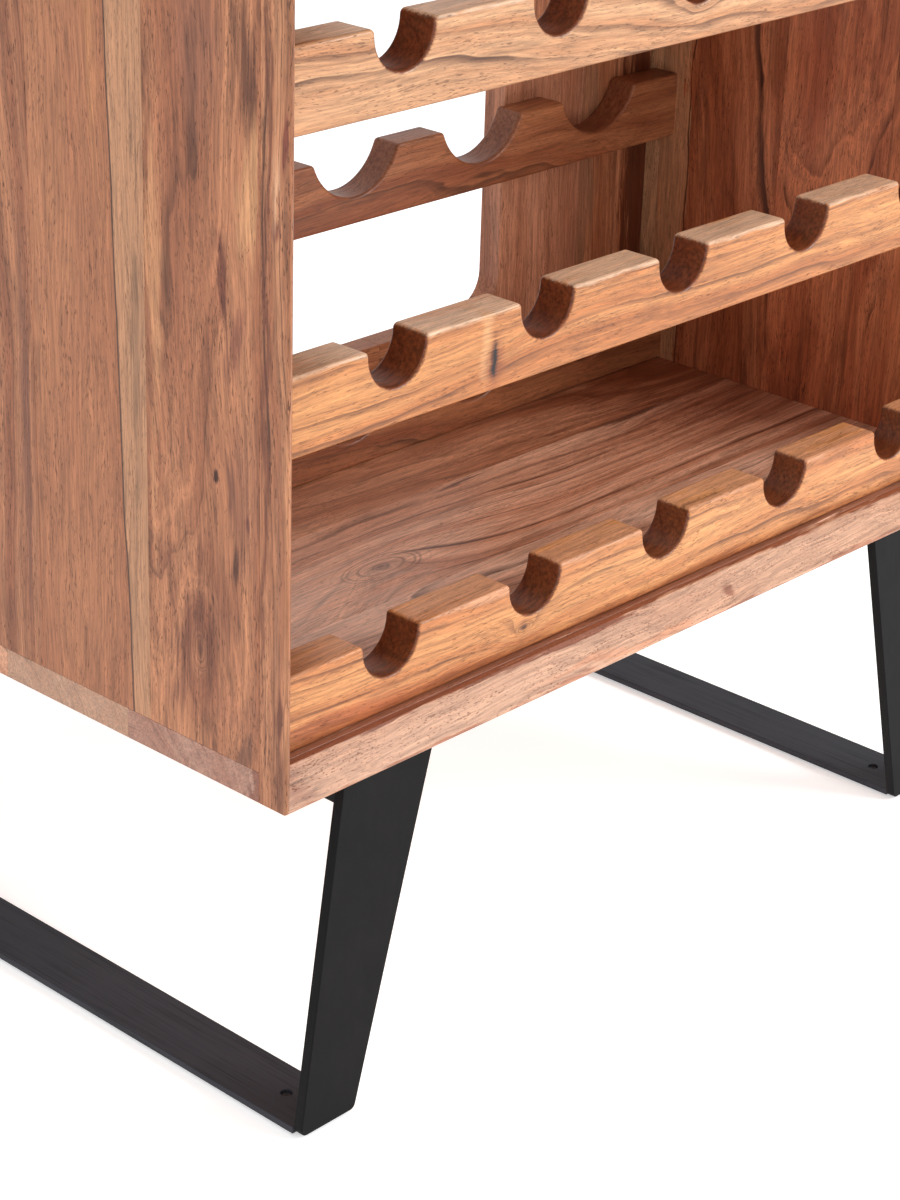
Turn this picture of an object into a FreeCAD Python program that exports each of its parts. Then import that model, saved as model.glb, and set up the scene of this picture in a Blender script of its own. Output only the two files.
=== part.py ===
import FreeCAD, Part
import os

import Sketcher

# Free-standing wine rack: a bevel-edged hardwood case with notched bottle rails on two
# flat-bar sled legs.  The front faces -Y, and the origin is on the floor under the
# middle of the case.  Lengths are in millimetres.

ROWS = 4
COLUMNS = 5
CENTRE_BOARDS = 3
LEG_SCREWS = 4                  # in each angle bar

COUNTS = {
    "tiers": ROWS,
    "columns": COLUMNS,
    "centre_boards": CENTRE_BOARDS,
    "leg_screw_gaps": LEG_SCREWS - 1,
}

DRIVING = {
    # case
    "board": 16.0,              # thickness of the side, bottom, top and back boards
    "case_depth": 360.0,
    "bottle_pitch": 104.5,      # one bottle to the next along a row
    "end_margin": 75.0,         # side board's inner face to the first bottle's middle
    "row_pitch": 148.0,         # one row to the next
    "edging_depth": 18.0,       # front edging, front to back
    "edging_nose": 2.0,         # flat left at the front of the 45 degree bevel
    "side_first": 75.0,         # width of the side board behind the edging
    "side_second": 80.0,        # width of the next one
    "deck_first": 92.0,         # width of the bottom and top boards behind the edging
    "deck_second": 92.0,
    # back panel and its window
    "back_recess": 68.5,        # panel's rear face to the case's rear edge
    "back_gap": 2.0,            # panel's edge to the side board
    "back_outer": 65.0,         # width of the outermost back board
    "window_margin": 155.0,     # window's edge to the case's outer side
    "window_low": 61.0,         # window's lower edge above the bottom board
    "window_corner": 20.0,      # corner radius
    # front rails, which hold the necks
    "front_setback": 21.5,      # rail's face to the front of the case
    "front_thick": 23.0,
    "front_tall": 40.0,
    "front_radius": 18.75,
    "front_depth": 21.5,
    # back rails, which hold the bodies
    "rear_thick": 20.0,
    "rear_tall": 40.0,
    "rear_radius": 35.0,
    "rear_depth": 24.0,
    "lip_round": 3.0,           # rounding of each notch's two lips
    # dowels at the rail ends
    "dowel_radius": 4.0,
    "dowel_in_board": 10.0,
    "dowel_in_rail": 20.0,
    "dowel_edge": 10.0,         # dowel's axis to the rail's top or bottom edge
    # screws through the back panel
    "back_screw_radius": 2.0,
    "back_screw_length": 30.0,
    "back_head_radius": 4.0,
    "back_head_depth": 2.5,
    # sled legs
    "leg_height": 198.0,
    "leg_setback": 13.0,        # upright's outer face to the case's front or rear edge
    "upright_thick": 6.0,
    "upright_top_inset": 52.5,  # upright's outer edge to the case's side, at the top
    "upright_top_width": 63.0,
    "upright_foot_inset": 24.5,
    "upright_foot_width": 38.0,
    "upright_corner": 4.0,
    "sled_thick": 4.0,
    "angle_inset": 51.0,        # angle bar's outer face to the case's side
    "angle_tall": 20.0,
    "angle_wide": 40.0,
    "angle_thick": 4.0,
    # screws through the angle bars
    "leg_screw_radius": 2.25,
    "leg_screw_bite": 12.0,
    "leg_head_radius": 4.5,
    "leg_head_tall": 3.0,
    "leg_screw_end": 30.0,      # first and last screw to the end of the angle bar
    # glides
    "glide_radius": 9.0,
    "glide_thick": 2.0,
    "glide_stem_radius": 3.1,
    "glide_stem_length": 2.5,
    "glide_hole_radius": 3.25,
    "glide_end": 24.0,          # hole's axis to the upright's inner face
}

DERIVED = {
    "case_width": "2 * board + 2 * end_margin + (columns - 1) * bottle_pitch",
    "case_tall": "2 * board + tiers * row_pitch",
    "inner_width": "case_width - 2 * board",
    "inner_tall": "case_tall - 2 * board",
    "case_base": "leg_height + glide_thick",
    "left_x": "-case_width / 2",
    "front_y": "-case_depth / 2",
    "back_face": "case_depth - back_recess - board",
    "rear_setback": "back_face - rear_thick",
    "side_rest": "(case_depth - edging_depth - side_first - side_second) / 2",
    "deck_rest": "(case_depth - edging_depth - deck_first - deck_second) / 2",
    "window_wide": "case_width - 2 * window_margin",
    "window_tall": "inner_tall - 2 * window_low",
    "back_inner": "window_margin + window_corner - board - back_gap - back_outer",
    "back_centre": "(case_width - 2 * (window_margin + window_corner)) / centre_boards",
    "sled_length": "case_depth - 2 * (leg_setback + upright_thick)",
    "sled_start": "leg_setback + upright_thick",
    "leg_screw_step": "(sled_length - 2 * leg_screw_end) / leg_screw_gaps",
}


CUT_MARGIN = "1"                # how far a cutter stands past the faces it opens


def cell(name):
    """The expression that reads one alias of the sheet."""
    return "Sizes." + name


def expand(text):
    """An expression in plain aliases, with each alias read from the sheet."""
    words = []
    for word in text.replace("(", " ( ").replace(")", " ) ").split():
        negative = word.startswith("-") and len(word) > 1
        bare = word[1:] if negative else word
        if bare in COUNTS or bare in DRIVING or bare in DERIVED:
            bare = cell(bare)
        words.append("-" + bare if negative else bare)
    return " ".join(words)


def make_sheet(doc):
    sheet = doc.addObject("Spreadsheet::Sheet", "Sizes")
    entries = [(name, str(value)) for name, value in (COUNTS | DRIVING).items()]
    entries += [(name, "=" + text) for name, text in DERIVED.items()]
    for row, (name, content) in enumerate(entries, 1):
        sheet.set(f"A{row}", name)
        sheet.setAlias(f"B{row}", name)
    for row, (name, content) in enumerate(entries, 1):
        sheet.set(f"B{row}", content)
    doc.recompute()
    return sheet


def read(sheet, text):
    """The present value of an expression in plain aliases."""
    return float(sheet.evalExpression(expand(text)))


def place(thing, x="0", y="0", z="0"):
    """Bind a placement, given in case coordinates: from the case's lower left front corner."""
    thing.setExpression("Placement.Base.x", expand(f"left_x + {x}"))
    thing.setExpression("Placement.Base.y", expand(f"front_y + {y}"))
    thing.setExpression("Placement.Base.z", expand(f"case_base + {z}"))


def box(doc, name, size, corner):
    made = doc.addObject("Part::Box", name)
    for side, text in zip(("Length", "Width", "Height"), size):
        made.setExpression(side, expand(text))
    place(made, *corner)
    return made


def cylinder(doc, name, radius, length, corner, turn=None):
    """A cylinder that rises from corner, or runs along the axis that turn gives it."""
    made = doc.addObject("Part::Cylinder", name)
    made.setExpression("Radius", expand(radius))
    made.setExpression("Height", expand(length))
    if turn:
        made.Placement.Rotation = turn
    place(made, *corner)
    return made


ALONG_X = FreeCAD.Rotation(FreeCAD.Vector(0, 1, 0), 90)
ALONG_Y = FreeCAD.Rotation(FreeCAD.Vector(1, 0, 0), -90)


def compound(doc, name, members):
    made = doc.addObject("Part::Compound", name)
    made.Links = members
    return made


def cut(doc, name, base, tool):
    made = doc.addObject("Part::Cut", name)
    made.Base = base
    made.Tool = tool
    return made


def fuse(doc, name, first, second):
    made = doc.addObject("Part::Fuse", name)
    made.Base = first
    made.Tool = second
    return made


def body_plane(body, role):
    for feature in body.Origin.OriginFeatures:
        if feature.Role == role:
            return feature
    raise ValueError(role)


def new_sketch(body, name, role):
    sketch = body.newObject("Sketcher::SketchObject", name)
    sketch.AttachmentSupport = [(body_plane(body, role), "")]
    sketch.MapMode = "FlatFace"
    return sketch


def bind_point(sketch, geometry, point, across, along):
    """Tie one point of a sketch to the origin by two dimensions of the sheet."""
    for kind, text in (("DistanceX", across), ("DistanceY", along)):
        value = read(sketch.Document.Sizes, text)
        if text == "0":
            axis = -2 if kind == "DistanceX" else -1
            sketch.addConstraint(Sketcher.Constraint("PointOnObject", geometry, point, axis))
            continue
        index = sketch.addConstraint(Sketcher.Constraint(kind, -1, 1, geometry, point, value))
        sketch.setExpression(f"Constraints[{index}]", expand(text))


def outline(body, name, role, corners):
    """A closed outline of straight edges whose corners follow the sheet."""
    sketch = new_sketch(body, name, role)
    sheet = sketch.Document.Sizes
    points = [FreeCAD.Vector(read(sheet, a), read(sheet, b), 0) for a, b in corners]
    count = len(points)
    for i in range(count):
        sketch.addGeometry(Part.LineSegment(points[i], points[(i + 1) % count]), False)
    for i in range(count):
        sketch.addConstraint(Sketcher.Constraint("Coincident", i, 2, (i + 1) % count, 1))
    for i, (across, along) in enumerate(corners):
        bind_point(sketch, i, 1, across, along)
    return sketch


def pad(body, name, sketch, length, reverse):
    made = body.newObject("PartDesign::Pad", name)
    made.Profile = sketch
    made.setExpression("Length", expand(length))
    made.Reversed = reverse
    return made


def pocket(body, name, sketch, reverse):
    made = body.newObject("PartDesign::Pocket", name)
    made.Profile = sketch
    made.Type = "ThroughAll"
    made.Reversed = reverse
    return made


def edging(doc, name, trapezoid, bevel_role, bevel, reverse, corner):
    """A mitred strip of front edging with its inner front corner bevelled at 45 degrees."""
    body = doc.addObject("PartDesign::Body", name)
    face = outline(body, name + "_face", "XZ_Plane", trapezoid)
    pad(body, name + "_pad", face, "edging_depth", True)
    doc.recompute()
    whole = body.Shape.Volume
    slope = outline(body, name + "_slope", bevel_role, bevel)
    pocket(body, name + "_bevel", slope, reverse)
    doc.recompute()
    if body.Shape.Volume > whole - 1.0:
        raise RuntimeError(f"{name}: the bevel cut nothing")
    place(body, *corner)
    return body


def front_edging(doc):
    wide, tall = "case_width", "case_tall"
    flat_up = [("0", "0"), (wide, "0"), (wide + " - board", "board"), ("board", "board")]
    flat_down = [("board", "0"), (wide + " - board", "0"), (wide, "board"), ("0", "board")]
    left = [("0", "0"), ("board", "board"), ("board", tall + " - board"), ("0", tall)]
    right = [("board", "0"), ("board", tall), ("0", tall + " - board"), ("0", "board")]
    run = "board - edging_nose"
    low_bevel = [("0", "edging_nose"), (run, "board"), ("0", "board")]
    high_bevel = [("0", "0"), (run, "0"), ("0", run)]
    left_bevel = [("edging_nose", "0"), ("board", "0"), ("board", run)]
    right_bevel = [("0", "0"), (run, "0"), ("0", run)]
    return [
        edging(doc, "bottom_edging", flat_up, "YZ_Plane", low_bevel, True, ("0", "0", "0")),
        edging(doc, "top_edging", flat_down, "YZ_Plane", high_bevel, True,
               ("0", "0", "case_tall - board")),
        edging(doc, "left_edging", left, "XY_Plane", left_bevel, True, ("0", "0", "0")),
        edging(doc, "right_edging", right, "XY_Plane", right_bevel, True,
               ("case_width - board", "0", "0")),
    ]


def notched_rail(doc, name, thick, tall, radius, depth):
    """A rail with one round notch for each bottle, and its notch lips rounded."""
    body = doc.addObject("PartDesign::Body", name)
    face = outline(body, name + "_face", "XZ_Plane",
                   [("0", "0"), ("inner_width", "0"), ("inner_width", tall), ("0", tall)])
    pad(body, name + "_pad", face, thick, True)
    doc.recompute()
    whole = body.Shape.Volume
    notch = new_sketch(body, name + "_notch", "XZ_Plane")
    sheet = doc.Sizes
    middle = f"{tall} - {depth} + {radius}"
    centre = FreeCAD.Vector(read(sheet, "end_margin"), read(sheet, middle), 0)
    circle = Part.Circle(centre, FreeCAD.Vector(0, 0, 1), read(sheet, radius))
    notch.addGeometry(circle, False)
    bind_point(notch, 0, 3, "end_margin", middle)
    index = notch.addConstraint(Sketcher.Constraint("Radius", 0, circle.Radius))
    notch.setExpression(f"Constraints[{index}]", expand(radius))
    first = pocket(body, name + "_first", notch, False)
    doc.recompute()
    if body.Shape.Volume > whole - 1.0:
        raise RuntimeError(f"{name}: the notch cut nothing")
    row = body.newObject("PartDesign::LinearPattern", name + "_row")
    row.Originals = [first]
    row.Direction = (notch, ["H_Axis"])
    row.setExpression("Length", expand("(columns - 1) * bottle_pitch"))
    row.Occurrences = COLUMNS
    body.Tip = row
    doc.recompute()
    lips = lip_edges(row.Shape, read(sheet, tall), read(sheet, "inner_width"))
    if len(lips) != 2 * COLUMNS:
        raise RuntimeError(f"{name}: {len(lips)} lips found")
    rounding = body.newObject("PartDesign::Fillet", name + "_lips")
    rounding.Base = (row, lips)
    rounding.setExpression("Radius", expand("lip_round"))
    body.Tip = rounding
    doc.recompute()
    return body


def lip_edges(shape, tall, length):
    """Names of the edges where the notches meet the rail's top, from front to back."""
    found = []
    for number, edge in enumerate(shape.Edges, 1):
        low, high = edge.BoundBox.ZMin, edge.BoundBox.ZMax
        at_top = abs(low - tall) < 0.01 and abs(high - tall) < 0.01
        across = edge.BoundBox.XLength < 0.01
        inside = 0.5 < edge.BoundBox.XMin < length - 0.5
        if at_top and across and inside:
            found.append(f"Edge{number}")
    return found


def rail_dowels(doc):
    """Two dowels at each end of each rail, half in the rail and half in the side board."""
    left, right = [], []
    length = "dowel_in_board + dowel_in_rail"
    for kind in ("front", "rear"):
        middle = f"{kind}_setback + {kind}_thick / 2"
        for row in range(ROWS):
            base = f"board + {row} * row_pitch"
            for level, up in (("low", "dowel_edge"), ("high", f"{kind}_tall - dowel_edge")):
                name = f"dowel_{kind}_{row + 1}_{level}"
                height = f"{base} + {up}"
                left.append(cylinder(doc, name + "_left", "dowel_radius", length,
                                     ("board - dowel_in_board", middle, height), ALONG_X))
                right.append(cylinder(doc, name + "_right", "dowel_radius", length,
                                      ("case_width - board - dowel_in_rail", middle, height),
                                      ALONG_X))
    return left, right


def back_screws(doc):
    """Countersunk screws through the back panel into the web below each rear rail's notches."""
    made = []
    outer = "board + back_gap + back_outer / 2"
    inner = "(board + back_gap + back_outer + window_margin) / 2"
    spots = (outer, inner, f"case_width - ({inner})", f"case_width - ({outer})")
    rear = "back_face + board"
    for row in range(ROWS):
        height = f"board + {row} * row_pitch + (rear_tall - rear_depth) / 2"
        for number, across in enumerate(spots, 1):
            name = f"back_screw_{row + 1}_{number}"
            shank = cylinder(doc, name + "_shank", "back_screw_radius", "back_screw_length",
                             (across, f"{rear} - back_screw_length", height), ALONG_Y)
            head = doc.addObject("Part::Cone", name + "_head")
            head.setExpression("Radius1", expand("back_screw_radius"))
            head.setExpression("Radius2", expand("back_head_radius"))
            head.setExpression("Height", expand("back_head_depth"))
            head.Placement.Rotation = ALONG_Y
            place(head, across, f"{rear} - back_head_depth", height)
            made.append(fuse(doc, name, shank, head))
    return made


def leg_screws(doc):
    """Pan-head screws up through each angle bar into the bottom boards."""
    made = []
    inward = "angle_inset + (angle_thick + angle_wide) / 2"
    for side, across in (("left", inward), ("right", f"case_width - ({inward})")):
        for number in range(LEG_SCREWS):
            name = f"leg_screw_{side}_{number + 1}"
            along = f"sled_start + leg_screw_end + {number} * leg_screw_step"
            shank = cylinder(doc, name + "_shank", "leg_screw_radius",
                             "angle_thick + leg_screw_bite", (across, along, "0 - angle_thick"))
            head = cylinder(doc, name + "_head", "leg_head_radius", "leg_head_tall",
                            (across, along, "0 - angle_thick - leg_head_tall"))
            made.append(fuse(doc, name, shank, head))
    return made


def case_boards(doc, dowels, screws):
    """Side, bottom and top boards, drilled for the dowels and screws that enter them."""
    nodes = []
    widths = ("side_first", "side_second", "side_rest", "side_rest")
    for side, across, pegs in (("left", "0", dowels[0]), ("right", "case_width - board", dowels[1])):
        start = "edging_depth"
        for number, wide in enumerate(widths, 1):
            name = f"{side}_side_board_{number}"
            blank = box(doc, name + "_blank", ("board", wide, "inner_tall"),
                        (across, start, "board"))
            nodes.append((name, cut(doc, name, blank, pegs)))
            start = f"{start} + {wide}"
    widths = ("deck_first", "deck_second", "deck_rest", "deck_rest")
    for level, height in (("bottom", "0"), ("top", "case_tall - board")):
        start = "edging_depth"
        for number, wide in enumerate(widths, 1):
            name = f"{level}_board_{number}"
            blank = box(doc, name + "_blank", ("case_width", wide, "board"),
                        ("0", start, height))
            made = cut(doc, name, blank, screws) if level == "bottom" else blank
            nodes.append((name, made))
            start = f"{start} + {wide}"
    return nodes


def window_cutter(doc):
    """The window's outline with round corners, as a block through the back panel."""
    block = box(doc, "window_block", ("window_wide", "board + 2 * " + CUT_MARGIN, "window_tall"),
                ("window_margin", "back_face - " + CUT_MARGIN, "board + window_low"))
    doc.recompute()
    corners = [number for number, edge in enumerate(block.Shape.Edges, 1)
               if edge.BoundBox.XLength < 0.01 and edge.BoundBox.ZLength < 0.01]
    rounded = doc.addObject("Part::Fillet", "window_cutter")
    rounded.Base = block
    radius = read(doc.Sizes, "window_corner")
    rounded.Edges = [(number, radius, radius) for number in corners]
    return rounded


def back_panel(doc, screws):
    """Upright back boards: two whole ones at each side, and short ones above and below."""
    nodes = []
    window = window_cutter(doc)
    outer_start = "board + back_gap"
    inner_start = "board + back_gap + back_outer"
    spans = (
        ("back_board_left_outer", outer_start, "back_outer", False),
        ("back_board_left_inner", inner_start, "back_inner", True),
        ("back_board_right_inner", "case_width - window_margin - window_corner",
         "back_inner", True),
        ("back_board_right_outer", "case_width - board - back_gap - back_outer",
         "back_outer", False),
    )
    for name, start, wide, windowed in spans:
        made = box(doc, name + "_blank", (wide, "board", "inner_tall"),
                   (start, "back_face", "board"))
        if windowed:
            made = cut(doc, name + "_window", made, window)
        nodes.append((name, cut(doc, name, made, screws)))
    for number in range(CENTRE_BOARDS):
        start = f"window_margin + window_corner + {number} * back_centre"
        for level, height in (("bottom", "board"), ("top", "case_tall - board - window_low")):
            name = f"back_board_{level}_{number + 1}"
            nodes.append((name, box(doc, name, ("back_centre", "board", "window_low"),
                                    (start, "back_face", height))))
    return nodes


def rails(doc, dowels, screws):
    nodes = []
    for kind, pins in (("front", dowels), ("rear", compound(doc, "rear_pins", [dowels, screws]))):
        for row in range(ROWS):
            name = f"{kind}_rail_{row + 1}"
            body = notched_rail(doc, name + "_body", f"{kind}_thick", f"{kind}_tall",
                                f"{kind}_radius", f"{kind}_depth")
            place(body, "board", f"{kind}_setback", f"board + {row} * row_pitch")
            nodes.append((name, cut(doc, name, body, pins)))
    return nodes


def upright(doc, name, mirrored, along):
    """A tapered flat plate that leans outward to its foot, with round lower corners."""
    body = doc.addObject("PartDesign::Body", name)
    top_in = "upright_top_inset + upright_top_width"
    foot_in = "upright_foot_inset + upright_foot_width"
    across = [("upright_foot_inset", "0"), (foot_in, "0"), (top_in, "leg_height"),
              ("upright_top_inset", "leg_height")]
    if mirrored:
        across = [(f"case_width - ({x})", z) for x, z in reversed(across)]
    face = outline(body, name + "_face", "XZ_Plane", across)
    plate = pad(body, name + "_plate", face, "upright_thick", True)
    doc.recompute()
    lower = [f"Edge{number}" for number, edge in enumerate(plate.Shape.Edges, 1)
             if edge.BoundBox.ZMax < 0.01 and edge.BoundBox.XLength < 0.01]
    rounding = body.newObject("PartDesign::Fillet", name + "_corners")
    rounding.Base = (plate, lower)
    rounding.setExpression("Radius", expand("upright_corner"))
    body.Tip = rounding
    place(body, "0", along, "0 - leg_height")
    return body


def angle_bar(doc, name, mirrored, screws):
    """An angle under the case, drilled for its screws, that joins the two uprights' tops."""
    body = doc.addObject("PartDesign::Body", name + "_bar")
    inner = "angle_inset + angle_wide"
    web = "angle_inset + angle_thick"
    shape = [("angle_inset", "0"), (web, "0"), (web, "angle_tall - angle_thick"),
             (inner, "angle_tall - angle_thick"), (inner, "angle_tall"),
             ("angle_inset", "angle_tall")]
    if mirrored:
        shape = [(f"case_width - ({x})", z) for x, z in reversed(shape)]
    face = outline(body, name + "_section", "XZ_Plane", shape)
    pad(body, name + "_length", face, "sled_length", True)
    place(body, "0", "sled_start", "0 - angle_tall")
    return cut(doc, name, body, screws)


def sled_legs(doc, screws):
    """Each leg: two uprights, a flat sled bar on the floor and an angle under the case."""
    nodes = []
    rear = "case_depth - leg_setback - upright_thick"
    ends = (("front", "sled_start + glide_end"), ("rear", f"{rear} - glide_end"))
    glides = []
    for side, mirrored in (("left", False), ("right", True)):
        for end, along in (("front", "leg_setback"), ("rear", rear)):
            name = f"{side}_leg_{end}_upright"
            nodes.append((name, upright(doc, name, mirrored, along)))
        inset = "upright_foot_inset"
        middle = "upright_foot_inset + upright_foot_width / 2"
        if mirrored:
            inset = "case_width - upright_foot_inset - upright_foot_width"
            middle = f"case_width - ({middle})"
        name = f"{side}_leg_sled_bar"
        blank = box(doc, name + "_blank", ("upright_foot_width", "sled_length", "sled_thick"),
                    (inset, "sled_start", "0 - leg_height"))
        holes = []
        for end, along in ends:
            holes.append(cylinder(doc, f"{name}_{end}_hole", "glide_hole_radius",
                                  "sled_thick + 2 * " + CUT_MARGIN,
                                  (middle, along, "0 - leg_height - " + CUT_MARGIN)))
            disc = cylinder(doc, f"{side}_{end}_glide_disc", "glide_radius", "glide_thick",
                            (middle, along, "0 - leg_height - glide_thick"))
            stem = cylinder(doc, f"{side}_{end}_glide_stem", "glide_stem_radius",
                            "glide_stem_length", (middle, along, "0 - leg_height"))
            name_glide = f"{side}_{end}_glide"
            glides.append((name_glide, fuse(doc, name_glide, disc, stem)))
        nodes.append((name, cut(doc, name, blank, compound(doc, name + "_holes", holes))))
        name = f"{side}_leg_angle_bar"
        nodes.append((name, angle_bar(doc, name, mirrored, screws)))
    return nodes + glides


def build(doc):
    make_sheet(doc)
    left, right = rail_dowels(doc)
    dowels_left = compound(doc, "dowels_left", left)
    dowels_right = compound(doc, "dowels_right", right)
    dowels = compound(doc, "rail_dowels", [dowels_left, dowels_right])
    back = compound(doc, "back_panel_screws", back_screws(doc))
    under = compound(doc, "leg_screws", leg_screws(doc))
    nodes = [(strip.Name, strip) for strip in front_edging(doc)]
    nodes += case_boards(doc, (dowels_left, dowels_right), under)
    nodes += back_panel(doc, back)
    nodes += rails(doc, dowels, back)
    nodes += sled_legs(doc, under)
    nodes += [("rail_dowels", dowels), ("back_panel_screws", back), ("leg_screws", under)]
    doc.recompute()
    return nodes


def check(doc, nodes):
    """Stop before anything is written if a feature failed or a shape is not sound."""
    for thing in doc.Objects:
        if "Invalid" in thing.State or "Error" in thing.State:
            raise RuntimeError(f"{thing.Name}: {thing.State}")
    names = [name for name, _ in nodes]
    if len(set(names)) != len(names) or len(names) > 60:
        raise RuntimeError("node names repeat or there are too many")
    for name, thing in nodes:
        shape = thing.Shape
        if shape.isNull() or not shape.isValid() or not shape.Solids:
            raise RuntimeError(f"{name}: the shape is not sound")


def main():
    doc = FreeCAD.newDocument("wine_rack")
    nodes = build(doc)
    check(doc, nodes)
    os.makedirs("parts", exist_ok=True)
    total = 0.0
    for name, thing in nodes:
        thing.Label = name
        thing.Shape.exportStep(f"parts/{name}.step")
        total += thing.Shape.Volume
    print(f"{len(nodes)} nodes, {total / 1e6:.3f} litres")


main()
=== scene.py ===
import math

import bpy
import numpy as np
from mathutils import Euler, Matrix, Vector


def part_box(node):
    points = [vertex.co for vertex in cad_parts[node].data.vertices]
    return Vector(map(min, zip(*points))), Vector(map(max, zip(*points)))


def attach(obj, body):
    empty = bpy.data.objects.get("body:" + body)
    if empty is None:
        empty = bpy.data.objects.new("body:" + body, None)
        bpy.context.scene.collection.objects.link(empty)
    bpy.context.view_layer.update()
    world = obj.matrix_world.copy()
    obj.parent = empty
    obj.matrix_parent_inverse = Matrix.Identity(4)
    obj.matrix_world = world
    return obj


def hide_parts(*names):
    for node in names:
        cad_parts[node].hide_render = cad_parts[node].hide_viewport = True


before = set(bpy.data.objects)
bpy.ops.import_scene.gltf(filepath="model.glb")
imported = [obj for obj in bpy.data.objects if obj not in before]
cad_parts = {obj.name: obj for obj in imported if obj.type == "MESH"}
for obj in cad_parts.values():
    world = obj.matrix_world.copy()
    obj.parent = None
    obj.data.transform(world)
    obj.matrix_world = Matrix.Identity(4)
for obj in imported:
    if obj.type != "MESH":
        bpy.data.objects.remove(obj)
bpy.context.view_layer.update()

MM = 0.001
ROWS = 4
COLUMNS = 5
BOARDS = range(1, 5)        # boards of a side, the bottom or the top, from the front
GROUND = 0.0


# ---------------------------------------------------------------- shapes

def arc(centre, radius, start, end, steps):
    """Points on a circle about centre, from the start angle to the end angle in degrees."""
    turn = np.radians(np.linspace(start, end, steps + 1))
    return np.stack([centre[0] + radius * np.cos(turn), centre[1] + radius * np.sin(turn)], 1)


def rounded_outline(corners, radii, steps=4):
    """Counterclockwise outline through corners, each one replaced by an arc that is tangent
    to both its sides: the arc's centre is on the bisector, radius / sin(half the corner)
    from the corner.  A radius of zero keeps the corner sharp."""
    corners = np.asarray(corners, float)
    count = len(corners)
    pieces = []
    for i in range(count):
        here, radius = corners[i], radii[i]
        if radius <= 0:
            pieces.append(here[None])
            continue
        back = corners[i - 1] - here
        ahead = corners[(i + 1) % count] - here
        back, ahead = back / np.linalg.norm(back), ahead / np.linalg.norm(ahead)
        half = 0.5 * math.acos(float(np.clip(back @ ahead, -1, 1)))
        bisector = (back + ahead) / np.linalg.norm(back + ahead)
        centre = here + bisector * radius / math.sin(half)
        first = here + back * radius / math.tan(half) - centre
        last = here + ahead * radius / math.tan(half) - centre
        start = math.atan2(first[1], first[0])
        sweep = (math.atan2(last[1], last[0]) - start + math.pi) % (2 * math.pi) - math.pi
        turn = start + sweep * np.linspace(0, 1, steps + 1)
        ring = np.stack([np.cos(turn), np.sin(turn)], 1)
        pieces.append(centre + radius * ring)
    return np.concatenate(pieces)


def inward(outline):
    """Unit-distance inward offset of each point of a counterclockwise outline: the sum of the
    two sides' inward normals over one plus their dot product."""
    ahead = np.roll(outline, -1, 0) - outline
    ahead /= np.linalg.norm(ahead, axis=1, keepdims=True)
    normal = np.stack([-ahead[:, 1], ahead[:, 0]], 1)
    before = np.roll(normal, 1, 0)
    spread = 1 + np.sum(normal * before, 1, keepdims=True)
    return (normal + before) / np.maximum(spread, 0.4)


def loft(rings, mirrored=False):
    """A closed skin over rings of equal count: quads between neighbouring rings and one
    polygon at each end.  Rings run counterclockwise seen from the last one; mirrored turns
    every face round where they run clockwise."""
    count, size = rings.shape[:2]
    base = np.arange(size)
    step = np.roll(base, -1)
    first = np.stack([base, step, step + size, base + size], 1)
    quads = (first + size * np.arange(count - 1)[:, None, None]).reshape(-1, 4)
    faces = quads.tolist() + [base[::-1].tolist(), (base + (count - 1) * size).tolist()]
    if mirrored:
        faces = [face[::-1] for face in faces]
    return rings.reshape(-1, 3), faces


def extrude_rings(outline, low, high, ease, steps=3):
    """Rings of an outline carried from low to high with both rims rounded by a quarter
    circle: the ring stands ease * (1 - sin) inward at ease * (1 - cos) from the end."""
    inset = inward(outline)
    turn = np.linspace(0, math.pi / 2, steps + 1)
    offset = ease * (1 - np.sin(turn))
    depth = ease * (1 - np.cos(turn))
    offsets = np.concatenate([offset, offset[::-1]])
    places = np.concatenate([low + depth, (high - depth)[::-1]])
    return [(outline + inset * gap, place) for gap, place in zip(offsets, places)]


AXES = {"x": (1, 2, 0), "y": (0, 2, 1), "z": (0, 1, 2)}


def slab_mesh(outline, axis, low, high, ease, steps=3, square_ends=False):
    """A solid of the given outline carried along one axis, as points and faces.  With square
    ends, points on the outline's lowest and highest first coordinate stay there, so only the
    long edges are rounded."""
    first, second, along = AXES[axis]
    flat = extrude_rings(outline, low, high, ease, steps)
    rings = np.zeros((len(flat), len(outline), 3))
    for ring, (shape, place) in zip(rings, flat):
        ring[:, first], ring[:, second], ring[:, along] = shape[:, 0], shape[:, 1], place
    if square_ends:
        across = outline[:, 0]
        held = (across < across.min() + 1e-7) | (across > across.max() - 1e-7)
        rings[:, held, first] = across[held]
    return loft(rings, axis == "y")


def turned_mesh(profile, centre, around=40):
    """A profile of (radius, height) pairs turned about the vertical axis through centre, with
    its ends closed: x = radius * cos, y = radius * sin."""
    profile = np.asarray(profile, float)
    turn = np.linspace(0, 2 * math.pi, around, endpoint=False)
    rings = np.zeros((len(profile), around, 3))
    rings[:, :, 0] = centre[0] + profile[:, :1] * np.cos(turn)
    rings[:, :, 1] = centre[1] + profile[:, :1] * np.sin(turn)
    rings[:, :, 2] = centre[2] + profile[:, 1:2]
    return loft(rings)


def merge(meshes):
    """Several meshes as one list of points and faces."""
    points, faces, offset = [], [], 0
    for some, corners in meshes:
        points.append(some)
        faces += [[index + offset for index in face] for face in corners]
        offset += len(some)
    return np.concatenate(points), faces


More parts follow.
